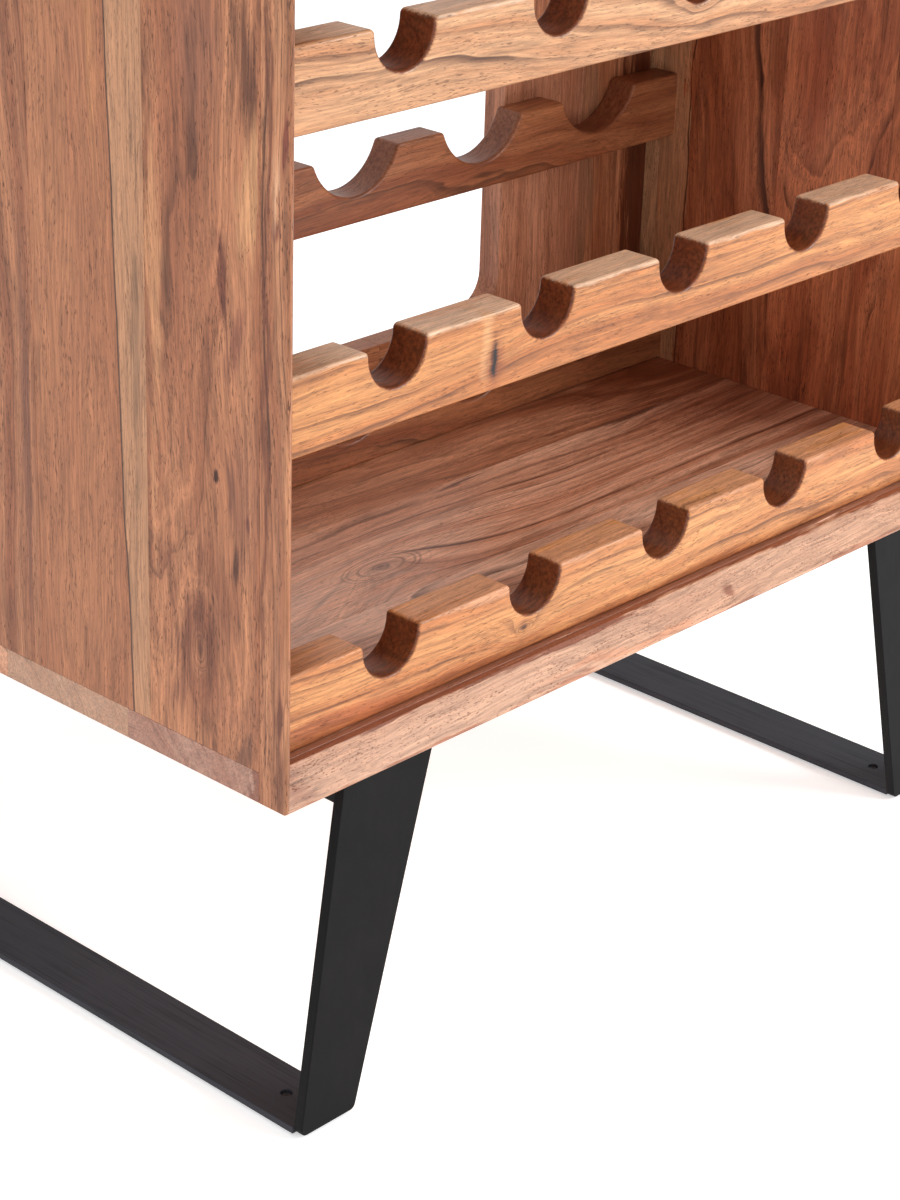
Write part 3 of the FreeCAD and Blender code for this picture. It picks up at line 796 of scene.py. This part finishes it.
def legs(steel, steel_bar, plastic):
    for side, sign in (("left", 1), ("right", -1)):
        bar = f"{side}_leg_sled_bar"
        low, high = np.array(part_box(bar))
        holes = (low[1] + GLIDE_END, high[1] - GLIDE_END)
        piece(bar + "_steel", plate_with_holes(low, high, holes, HOLE, BAR_EASE), steel_bar,
              "leg_steel", bar)
        middle = 0.5 * (low[0] + high[0])
        foot_outer = low[0] if sign > 0 else high[0]
        for end, y in (("front", holes[0]), ("rear", holes[1])):
            node = f"{side}_leg_{end}_upright"
            lower, upper = np.array(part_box(node))
            top_inner = upper[0] if sign > 0 else lower[0]
            corners = [(foot_outer, lower[2]), (foot_outer + sign * FOOT_WIDTH, lower[2]),
                       (top_inner, upper[2]), (top_inner - sign * TOP_WIDTH, upper[2])]
            radii = (FOOT_ROUND, FOOT_ROUND, 0.0, 0.0)
            if sign < 0:
                corners, radii = corners[::-1], radii[::-1]
            outline = rounded_outline(corners, radii, 8)
            piece(node + "_steel", slab_mesh(outline, "y", lower[1], upper[1], PLATE_EASE),
                  steel, "leg_steel", node)
            glide(f"{side}_{end}_glide", (middle, y), plastic)
        angle_bar(f"{side}_leg_angle_bar", sign, steel)
        welds(side, sign, steel)


ANGLE_THICK = 4 * MM


def angle_bar(node, sign, steel):
    """An L section carried along the case, with the rolled bar's round inner corner."""
    low, high = np.array(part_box(node))
    outer, inner = (low[0], high[0]) if sign > 0 else (high[0], low[0])
    web = outer + sign * ANGLE_THICK
    flange = high[2] - ANGLE_THICK
    corners = [(outer, low[2]), (web, low[2]), (web, flange), (inner, flange),
               (inner, high[2]), (outer, high[2])]
    radii = (0.8 * MM, 0.8 * MM, 3 * MM, 0.8 * MM, 0.3 * MM, 1.0 * MM)
    if sign < 0:
        corners, radii = corners[::-1], radii[::-1]
    data = slab_mesh(rounded_outline(corners, radii, 5), "y", low[1], high[1], ROLLED_EASE)
    piece(node + "_steel", data, steel, "leg_steel", node)


def welds(side, sign, steel):
    """Beads where the sled bar and the angle meet the uprights."""
    beads = []
    low, high = np.array(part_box(f"{side}_leg_sled_bar"))
    for y in (low[1], high[1]):
        ends = [(low[0] + 3 * MM, y, high[2]), (high[0] - 3 * MM, y, high[2])]
        beads.append(weld_bead(ends, SLED_BEAD))
    low, high = np.array(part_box(f"{side}_leg_angle_bar"))
    web = low[0] if sign > 0 else high[0]
    for y in (low[1], high[1]):
        x = web + sign * ANGLE_THICK
        beads.append(weld_bead([(x, y, low[2] + MM), (x, y, high[2] - 6 * MM)], ANGLE_BEAD))
    piece(f"{side}_leg_welds", merge(beads), steel, "leg_steel")


def glide(node, centre, plastic):
    """A moulded foot pad with a round rim and a stem pushed up into the bar's hole."""
    low, high = np.array(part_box(node))
    radius = 0.5 * (high[0] - low[0])
    disc, total = 2.0, 1000 * (high[2] - low[2])
    stem = 3.1
    profile = np.array([(0.01, 0), (radius / MM - 0.9, 0), (radius / MM - 0.35, 0.15),
                        (radius / MM - 0.05, 0.6), (radius / MM, 1.0), (radius / MM, disc - 0.25),
                        (radius / MM - 0.25, disc), (stem + 0.1, disc), (stem, disc + 0.15),
                        (stem, total - 0.4), (stem - 0.5, total), (1.4, total),
                        (1.2, total - 0.7), (0.01, total - 0.7)]) * MM
    piece(node + "_plastic", turned_mesh(profile, (*centre, low[2])), plastic,
          "glide_plastic", node)


# ---------------------------------------------------------------- screws

def screw_head(centre, direction, radius, height, sink, cross):
    """Head of a screw on a grid of radius and angle: a dome with a four-armed recess.  The
    recess depth falls off smoothly with the smaller of |x| and |y| and towards its rim.
    direction +1 or -1 points the head along the second of the two axes given by cross."""
    steps, around = 14, 48
    share = np.linspace(0, 1, steps + 1)[1:]
    turn = np.linspace(0, 2 * math.pi, around, endpoint=False)
    away = radius * share[:, None] * np.ones(around)
    x, y = away * np.cos(turn), away * np.sin(turn)
    dome = height * np.sqrt(np.clip(1 - (0.96 * share[:, None]) ** 4, 0, 1)) * np.ones(around)
    arm = np.minimum(np.abs(x), np.abs(y)) / (0.16 * radius)
    reach = np.clip((0.62 - share[:, None]) / 0.12, 0, 1)
    dome = dome - sink * reach * np.clip(1.35 - arm, 0, 1)
    crown = np.full(around, height - sink)
    rings = [np.stack([x[0] * 0.02, y[0] * 0.02, crown], 1)]
    rings += [np.stack([x[k], y[k], dome[k]], 1) for k in range(steps)]
    rings.append(np.stack([x[-1], y[-1], np.full(around, -0.2 * MM)], 1))
    rings = np.array(rings)[::-1]
    if cross == "z":
        turned = rings * (1, 1, direction)
        mirrored = direction < 0
    else:
        turned = np.stack([rings[..., 0], direction * rings[..., 2], rings[..., 1]], -1)
        mirrored = direction > 0
    return loft(turned + np.asarray(centre), mirrored)


LEG_HEAD = dict(radius=4.4 * MM, height=2.9 * MM, sink=1.7 * MM)
BACK_HEAD = dict(radius=3.9 * MM, height=0.35 * MM, sink=1.5 * MM)
LEG_SCREW_END = 30 * MM
LEG_SCREWS = 4


def screws(zinc):
    heads = []
    for side in ("left", "right"):
        low, high = np.array(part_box(f"{side}_leg_angle_bar"))
        across = 0.5 * (low[0] + high[0]) + (2 if side == "left" else -2) * MM
        for y in np.linspace(low[1] + LEG_SCREW_END, high[1] - LEG_SCREW_END, LEG_SCREWS):
            place = (across, y, high[2] - ANGLE_THICK)
            heads.append(screw_head(place, -1, cross="z", **LEG_HEAD))
    piece("leg_screw_heads", merge(heads), zinc, "screw_steel", "leg_screws")
    heads = []
    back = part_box("back_board_left_outer")[1][1]
    for row in range(1, ROWS + 1):
        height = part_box(f"rear_rail_{row}")[0][2] + 8 * MM
        for board_name in ("left_outer", "left_inner", "right_inner", "right_outer"):
            low, high = np.array(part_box(f"back_board_{board_name}"))
            x = 0.5 * (low[0] + high[0])
            if board_name == "left_inner":
                x = 0.5 * (low[0] + high[0] - WINDOW_CORNER)
            if board_name == "right_inner":
                x = 0.5 * (low[0] + high[0] + WINDOW_CORNER)
            place = (x, back - 0.1 * MM, height)
            heads.append(screw_head(place, 1, cross="y", **BACK_HEAD))
    piece("back_panel_screw_heads", merge(heads), zinc, "screw_steel", "back_panel_screws")


# ---------------------------------------------------------------- the woods of each board

random = np.random.default_rng(18)
WOODS = {}


def wood(name, grain, pith=None, lean=None, slide=None, **looks):
    """Notes down how one board is sawn and what it looks like.  What isn't given is drawn at
    random, the same on every run."""
    drawn_pith = (random.choice((-1, 1)) * random.uniform(50, 110), random.uniform(-40, 40))
    drawn_lean = tuple(random.uniform(-2.5, 2.5, 2))
    drawn_slide = random.uniform(0, 9000)
    cut = (pith or drawn_pith, lean or drawn_lean, drawn_slide if slide is None else slide)

    def make(centre, **more):
        return hardwood(name + "_grain", grain, centre, *cut, **looks, **more)
    WOODS[name] = make


DARK = rgb(76, 40, 28)
DEEP = rgb(48, 20, 14)
ANY = 1e5           # reach of a patch through the board's thickness

SIDE_TONES = dict(Light=rgb(176, 118, 84), Middle=rgb(147, 91, 63), Dark=rgb(62, 32, 22),
                  Lines=0.5, Veil=0.4, Pores=0.8, gloss=0.28)
RAIL_TONES = dict(Light=rgb(202, 138, 84), Middle=rgb(172, 104, 56), Dark=rgb(74, 36, 16),
                  Lines=0.9, Veil=0.2, Pores=0.6, gloss=0.4)
DECK_TONES = dict(Light=rgb(228, 174, 142), Middle=rgb(196, 134, 102), Dark=rgb(72, 36, 24),
                  Lines=0.9, Veil=0.4, Pores=0.5, gloss=0.7)
BACK_TONES = dict(Light=rgb(198, 134, 96), Middle=rgb(166, 102, 68), Dark=rgb(70, 34, 20),
                  Lines=0.7, Veil=0.35, Pores=0.6, gloss=0.3)
EDGING_TONES = dict(Light=rgb(210, 154, 120), Middle=rgb(190, 130, 96), Dark=rgb(110, 62, 42),
                    Lines=0.3, Veil=0.15, Pores=0.8, gloss=0.3)


def side_patch(y, z, wide, tall, tint, strength, lean=0, crisp=0.3, x=8):
    """A patch on an upright board's broad face, in case millimetres, right through the board."""
    return ((x, y, z), (ANY, wide, tall), tint, strength, (lean, 0, 0), crisp)


def front_patch(x, z, wide, tall, tint, strength, lean=0, crisp=0.3, y=21):
    """A patch on a face that looks forward."""
    return ((x, y, z), (wide, ANY, tall), tint, strength, (0, lean, 0), crisp)


LEFT_1 = (
    side_patch(28, 345, 9, 42, DARK, 0.75),
    side_patch(55, 362, 20, 50, rgb(140, 92, 72), 0.5),
    side_patch(26, 288, 7.5, 42, rgb(196, 142, 100), 0.85, 3, 0.5),
    side_patch(43, 255, 5, 34, rgb(104, 54, 40), 0.85, -4),
    side_patch(34, 222, 6, 30, rgb(120, 70, 54), 0.8, 12),
    side_patch(86, 240, 5, 80, rgb(194, 138, 98), 0.75, -1),
    side_patch(88, 130, 3, 60, rgb(190, 134, 96), 0.6),
    side_patch(46, 156, 2.2, 5, DEEP, 0.95, 0, 0.6),
    side_patch(35, 153, 3.5, 22, rgb(110, 66, 54), 0.7),
    side_patch(26, 136, 3, 8, rgb(84, 40, 44), 0.9, 0, 0.5),
    side_patch(33, 116, 3, 12, DEEP, 0.9, 8, 0.5),
    side_patch(28, 150, 12, 62, rgb(132, 84, 64), 0.55),
    side_patch(64, 70, 13, 26, rgb(96, 52, 38), 0.6, 20, 0.0),
    side_patch(80, 104, 8, 16, rgb(100, 58, 44), 0.5, 15, 0.0),
    side_patch(44, 84, 6, 26, rgb(104, 58, 40), 0.5, -10, 0.0),
    side_patch(36, 40, 22, 16, rgb(150, 96, 70), 0.6, -15),
    side_patch(56, 74, 34, 66, rgb(112, 64, 46), 0.6, 12, 0.0),
    side_patch(74, 38, 10, 26, rgb(110, 64, 48), 0.5, 24, 0.0),
    side_patch(28, 20, 6, 14, rgb(96, 62, 50), 0.7),
)
LEFT_2 = (
    side_patch(99, 190, 3.5, 190, rgb(112, 84, 64), 0.45, 1),
    side_patch(128, 330, 5, 60, rgb(182, 124, 82), 0.5),
)
RIGHT_3 = (
    side_patch(258, 300, 14.5, 1000, rgb(194, 146, 108), 0.8, 0, 0.8, x=592),
    side_patch(243.5, 300, 0.8, 1000, rgb(50, 24, 14), 0.8, 0, 0.9, x=592),
    side_patch(191, 213, 4, 7, rgb(60, 28, 18), 0.8, 0, 0.4, x=592),
)
LEFT_3 = (
    side_patch(166, 255, 4, 90, rgb(124, 80, 62), 0.7, 2),
    side_patch(181, 150, 5, 120, rgb(120, 78, 62), 0.6, -1),
    side_patch(168, 60, 3, 110, rgb(186, 130, 94), 0.6),
    side_patch(196, 290, 7, 26, rgb(116, 74, 60), 0.6, 10),
)
LEFT_EDGE = (
    side_patch(14.5, 200, 2.2, 300, rgb(112, 64, 46), 0.8, 0.3, 0.2),
    side_patch(4, 318, 2.5, 16, rgb(110, 50, 40), 0.8, 0, 0.4),
    side_patch(8, 279, 4, 7, rgb(120, 66, 50), 0.8, 0, 0.4),
    side_patch(9, 300, 3, 26, rgb(206, 158, 124), 0.7, 0, 0.4),
    side_patch(6, 120, 3, 110, rgb(150, 100, 74), 0.5, 0.6, 0.2),
    side_patch(6, 50, 4, 14, rgb(92, 48, 36), 0.8, 0, 0.3),
    side_patch(3, 22, 5, 34, rgb(104, 60, 44), 0.6, 6, 0.2),
)
# painted shade: dark orange for the ledge under the lowest front rail
PAINTED_LEDGE_SHADE = rgb(124, 62, 32)
BEVEL = (
    # painted shade on the bevel's crest and inner flat, under the lowest rail
    ((300, 17, 16.5), (ANY, 4.5, 4), PAINTED_LEDGE_SHADE, 0.9, (0, 0, 0), 0.75),
    ((300, 0, 0), (ANY, 2.4, 2.0), rgb(150, 88, 62), 0.7, (0, 0, 0), 0.4),
    front_patch(12, 8, 12, 9, rgb(140, 88, 66), 0.6, 12, 0.0, y=6),
    front_patch(338, 9, 5, 3, rgb(140, 84, 62), 0.8, 10, 0.3, y=8),
    front_patch(250, 4, 90, 2, rgb(206, 140, 104), 0.6, 0.8, 0.2, y=8),
)
FLOOR_TOP = 16
ROW_PITCH = 148
RAIL_TALL = 40


def painted_lit_top(row, tint=rgb(222, 188, 158), strength=0.78):
    """Painted highlight: paler colour along a rail's top face and its two upper edges, where the
    light from above falls.
    """
    top = FLOOR_TOP + ROW_PITCH * (row - 1) + RAIL_TALL
    return ((300, 33, top + 1), (ANY, ANY, 3.4), tint, strength, (0, 0, 0), 0.4)


RAIL_2 = (
    painted_lit_top(2),
    front_patch(152, 190, 6, 30, rgb(214, 160, 112), 0.55, 2, 0.3, y=30),
    front_patch(158, 178, 9, 26, rgb(134, 70, 38), 0.85, 3, 0.0),
    front_patch(157.5, 181, 3.4, 17, rgb(72, 34, 18), 0.95, 3, 0.2),
    front_patch(157.8, 180, 1.3, 10, rgb(28, 14, 10), 1.0, 4, 0.6),
)
BACK_OUTER = (
    front_patch(524, 300, 10, 1000, rgb(156, 110, 82), 0.8, 0, 0.5, y=283),
    front_patch(572, 300, 16, 1000, rgb(84, 34, 16), 0.9, 0, 0.7, y=283),
)
RAIL_1 = (
    painted_lit_top(1, rgb(206, 150, 114), 0.7),
    # painted shade: darker orange band along the lower part of the face, just above the floor
    ((300, 21, 17), (ANY, ANY, 7), rgb(144, 74, 36), 0.6, (0, 0, 0), 0.0),
    front_patch(188, 29, 4.5, 3.2, rgb(90, 52, 40), 0.75, 0, 0.3),
    front_patch(60, 26, 60, 9, rgb(176, 92, 52), 0.55, 4, 0.1),
)


def deck_end(tint):
    """End grain of a bottom board, where it comes through the left side."""
    return ((0, 150, 8), (6, ANY, ANY), tint, 0.75, (0, 0, 0), 0.9)


def painted_shade_end(strength):
    """Painted shade: the floor's right end, in the shadow of the right wall and the rails above, is
    browner, fading in over a third of its length.
    """
    return ((600, 215, 16), (230, 130, ANY), rgb(128, 62, 32), strength, (0, 0, 0), 0.0)


# painted light: a pale, hazy pool on the left of the floor where the light and its reflection fall
PAINTED_LIGHT_POOL = ((120, 130, 16), (130, 66, ANY), rgb(240, 202, 178), 0.5, (0, 0, -8), 0.0)
DECK_1 = (
    deck_end(rgb(124, 70, 50)),
    PAINTED_LIGHT_POOL,
    # painted shade on the floor's front strip, under the lowest rail
    ((300, 19, 16), (ANY, 7, ANY), PAINTED_LEDGE_SHADE, 0.85, (0, 0, 0), 0.6),
)
DECK_2 = (
    deck_end(rgb(152, 112, 84)),
    PAINTED_LIGHT_POOL,
    painted_shade_end(0.6),
    ((327, 197, 16), (26, 3, ANY), rgb(84, 56, 54), 0.75, (0, 0, 4), 0.2),
)


def plan_woods():
    wood("left_side_board_1", "z", (62, 28), (1.2, 2.0), 5200, patches=LEFT_1, Spacing=4.5,
         Warp=18.0, knot=(0, 58, 66), knot_size=6.0, **(SIDE_TONES | dict(Veil=0.6)))
    wood("left_side_board_2", "z", (95, 20), (0.4, 0.6), 2100, patches=LEFT_2,
         sap=dict(normal=(0, -1, 0.0376), offset=-104.4, tint=rgb(180, 134, 101)),
         **(SIDE_TONES | dict(Light=rgb(168, 112, 79), Middle=rgb(155, 99, 69), Lines=0.05,
                              Veil=0.08, Pores=0.7)))
    wood("left_side_board_3", "z", (30, 66), (0.8, 1.0), 700, patches=LEFT_3, Spacing=4.0,
         **(SIDE_TONES | dict(Light=rgb(166, 111, 79), Middle=rgb(140, 86, 60), Lines=0.8)))
    wood("left_side_board_4", "z", **SIDE_TONES)
    for number, light, middle, patches in (
            (1, rgb(200, 124, 84), rgb(160, 86, 54), ()),
            (2, rgb(204, 126, 86), rgb(164, 88, 56), ()),
            (3, rgb(194, 122, 84), rgb(156, 88, 56), RIGHT_3),
            (4, rgb(206, 156, 116), rgb(180, 128, 90), ())):
        wood(f"right_side_board_{number}", "z", patches=patches,
             **(SIDE_TONES | dict(Light=light, Middle=middle, Lines=0.9, Veil=0.5)))
    left_edge = SIDE_TONES | dict(Light=rgb(188, 130, 94), Lines=0.8)
    wood("left_edging", "z", (20, 34), (0.6, 0.8), patches=LEFT_EDGE, Spacing=3.5, **left_edge)
    wood("right_edging", "z", (24, 30), (0.6, 0.8), Spacing=3.5, **left_edge)
    calm_back = BACK_TONES | dict(Lines=0.2, Veil=0.15, Spacing=11.0, Light=rgb(200, 140, 108),
                                  Middle=rgb(178, 118, 88))
    wood("back_board_left_outer", "z", **BACK_TONES)
    wood("back_board_right_outer", "z", patches=BACK_OUTER, **BACK_TONES)
    for side in ("left", "right"):
        wood(f"back_board_{side}_inner", "z", **calm_back)
    wood("bottom_board_1", "x", (30, 46), (1.0, 1.4), 3100, patches=DECK_1,
         **(DECK_TONES | dict(Light=rgb(240, 196, 168), Middle=rgb(214, 160, 130))))
    wood("bottom_board_2", "x", (12, 52), (1.5, 1.2), 800, patches=DECK_2,
         knot=(210, 144, 16), knot_size=15.0, Spacing=7.5, **DECK_TONES)
    deep_deck = DECK_TONES | dict(Light=rgb(216, 156, 120), Middle=rgb(180, 118, 84))
    top_deck = DECK_TONES | dict(Light=rgb(176, 112, 74), Middle=rgb(142, 80, 48), gloss=0.3)
    # painted shade: the level back boards' tones are darkened for the shade at the back of the case
    back_tones_darkened_for_shade = BACK_TONES | dict(Light=rgb(178, 116, 78), Middle=rgb(146, 84, 52))
    for level in ("bottom", "top"):
        for number in BOARDS:
            if level == "top":
                wood(f"top_board_{number}", "x", **top_deck)
            elif number > 2:
                wood(f"bottom_board_{number}", "x", patches=(painted_shade_end(0.8),), **deep_deck)
        for number in range(1, 4):
            wood(f"back_board_{level}_{number}", "x", **back_tones_darkened_for_shade)
    plain_bevel = EDGING_TONES | dict(Veil=0.03, Lines=0.1, Light=rgb(199, 156, 129), Pores=0.7,
                                      Middle=rgb(188, 142, 115), Pore_Length=2.2)
    wood("bottom_edging", "x", (40, 24), patches=BEVEL, **plain_bevel)
    wood("top_edging", "x", (40, 24), **EDGING_TONES)
    wood("front_rail_1", "x", (26, 38), (1.6, 1.0), 400, patches=RAIL_1, knot=(188, 21, 29),
         knot_size=4.0, **(RAIL_TONES | dict(Light=rgb(212, 148, 94), Middle=rgb(184, 114, 66))))
    wood("front_rail_2", "x", (34, 30), (1.2, 0.8), 1500, patches=RAIL_2, wobble=5.0, **RAIL_TONES)
    wood("front_rail_3", "x", (30, 26), (1.5, -1.0), 2600, patches=(painted_lit_top(3),),
         knot=(301, 21, 330), knot_size=3.0,
         **(RAIL_TONES | dict(Light=rgb(202, 154, 114), Middle=rgb(174, 118, 78))))
    wood("front_rail_4", "x", patches=(painted_lit_top(4),), **RAIL_TONES)
    # painted shade: the rear rails' tones are darker than the front rails' for the shade deep in
    # the case
    rear = RAIL_TONES | dict(Light=rgb(172, 110, 72), Middle=rgb(138, 77, 47))
    for row in range(1, ROWS + 1):
        wood(f"rear_rail_{row}", "x", (28, 30), (1.5, 1.2), Spacing=6.0, **rear)


# ---------------------------------------------------------------- studio

def studio_camera():
    """Stands left of the front, above the case, and rolls slightly."""
    camera = bpy.data.cameras.new("camera")
    camera.sensor_fit = "VERTICAL"
    camera.sensor_height = 36
    camera.sensor_width = 36
    camera.lens = 85.55
    camera.clip_start = 0.05
    camera.clip_end = 50
    holder = bpy.data.objects.new("camera", camera)
    bpy.context.scene.collection.objects.link(holder)
    azimuth, fall, roll = (math.radians(a) for a in (47.708, 24.526, 1.860))
    forward = Vector((math.sin(azimuth) * math.cos(fall), math.cos(azimuth) * math.cos(fall),
                      -math.sin(fall)))
    level = Vector((math.cos(azimuth), -math.sin(azimuth), 0))
    lift = level.cross(forward)
    right = level * math.cos(roll) + lift * math.sin(roll)
    up = right.cross(forward)
    turn = Matrix((right, up, -forward)).transposed().to_4x4()
    turn.translation = Vector((-1106.36, -1011.66, 840.24)) * MM
    holder.matrix_world = turn
    bpy.context.scene.camera = holder


def soft_box(name, place, target, size, power):
    light = bpy.data.lights.new(name, "AREA")
    light.shape = "RECTANGLE"
    light.size, light.size_y = size
    light.energy = power
    holder = bpy.data.objects.new(name, light)
    bpy.context.scene.collection.objects.link(holder)
    place, target = Vector(place), Vector(target)
    aim = (target - place).to_track_quat("-Z", "Y").to_matrix().to_4x4()
    aim.translation = place
    holder.matrix_world = aim


def studio():
    """White sweep and soft boxes: the large one from the front left and above."""
    floor = bpy.data.meshes.new("floor")
    reach = 30.0
    floor.from_pydata([(-reach, -reach, GROUND), (reach, -reach, GROUND),
                       (reach, reach, GROUND), (-reach, reach, GROUND)], [], [(0, 1, 2, 3)])
    pale = bpy.data.materials.new("pale_floor")
    pale.use_nodes = True
    shader = pale.node_tree.nodes["Principled BSDF"]
    shader.inputs["Base Color"].default_value = (0.93, 0.93, 0.93, 1)
    shader.inputs["Roughness"].default_value = 0.9
    shader.inputs["Specular IOR Level"].default_value = 0.1
    shader.inputs["Emission Color"].default_value = (1, 1, 1, 1)
    shader.inputs["Emission Strength"].default_value = 0.45
    floor.materials.append(pale)
    ground = bpy.data.objects.new("floor", floor)
    bpy.context.scene.collection.objects.link(ground)
    world = bpy.data.worlds.new("white room")
    world.use_nodes = True
    world.node_tree.nodes["Background"].inputs["Color"].default_value = (1, 1, 1, 1)
    room = Tree(world.node_tree)
    seen = room.add("ShaderNodeLightPath").outputs["Is Camera Ray"]
    strength = room.maths("MULTIPLY_ADD", seen, 0.28, 0.72)
    world.node_tree.links.new(strength, world.node_tree.nodes["Background"].inputs["Strength"])
    bpy.context.scene.world = world
    soft_box("key", (1.5, -2.3, 1.75), (0, 0, 0.4), (1.3, 1.3), 62)
    soft_box("left fill", (-2.4, -0.6, 1.3), (0, 0, 0.4), (1.6, 1.6), 14)
    view = bpy.context.scene.view_settings
    view.view_transform = "Standard"
    view.look = "None"
    view.exposure = 0.0
    view.gamma = 1.0


# ---------------------------------------------------------------- the rack

studio_camera()
studio()
plan_woods()
case_sides_and_decks()
front_edging()
back_panel()
bottle_rails()
COAT = black_steel("black_coat", (180.0, 180.0, 60.0), 0.25, rgb(8, 7, 8), rgb(15, 13, 15))
# the paler colours stand partly for the rolled streaks and partly for painted reflection of
# glancing light along the bar
ROLLED_COAT_AND_SHEEN = black_steel("rolled_black_coat_and_sheen", (900.0, 14.0, 300.0), 0.8, rgb(18, 18, 20),
                          rgb(52, 52, 58))
PLASTIC = plain_metal("moulded_black_plastic", rgb(32, 32, 34), 0.5, 0.0)
ZINC = plain_metal("zinc_plate", rgb(176, 178, 180), 0.34, 1.0)
legs(COAT, ROLLED_COAT_AND_SHEEN, PLASTIC)
screws(ZINC)
DOWEL = hardwood("beech_dowel_grain", "x", (0, 0, 0), (20, 10), Light=rgb(216, 180, 140),
                 Middle=rgb(200, 160, 118), Dark=rgb(150, 108, 74))
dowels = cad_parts["rail_dowels"]
dowels.data.materials.clear()
dowels.data.materials.append(DOWEL)

bpy.context.view_layer.update()
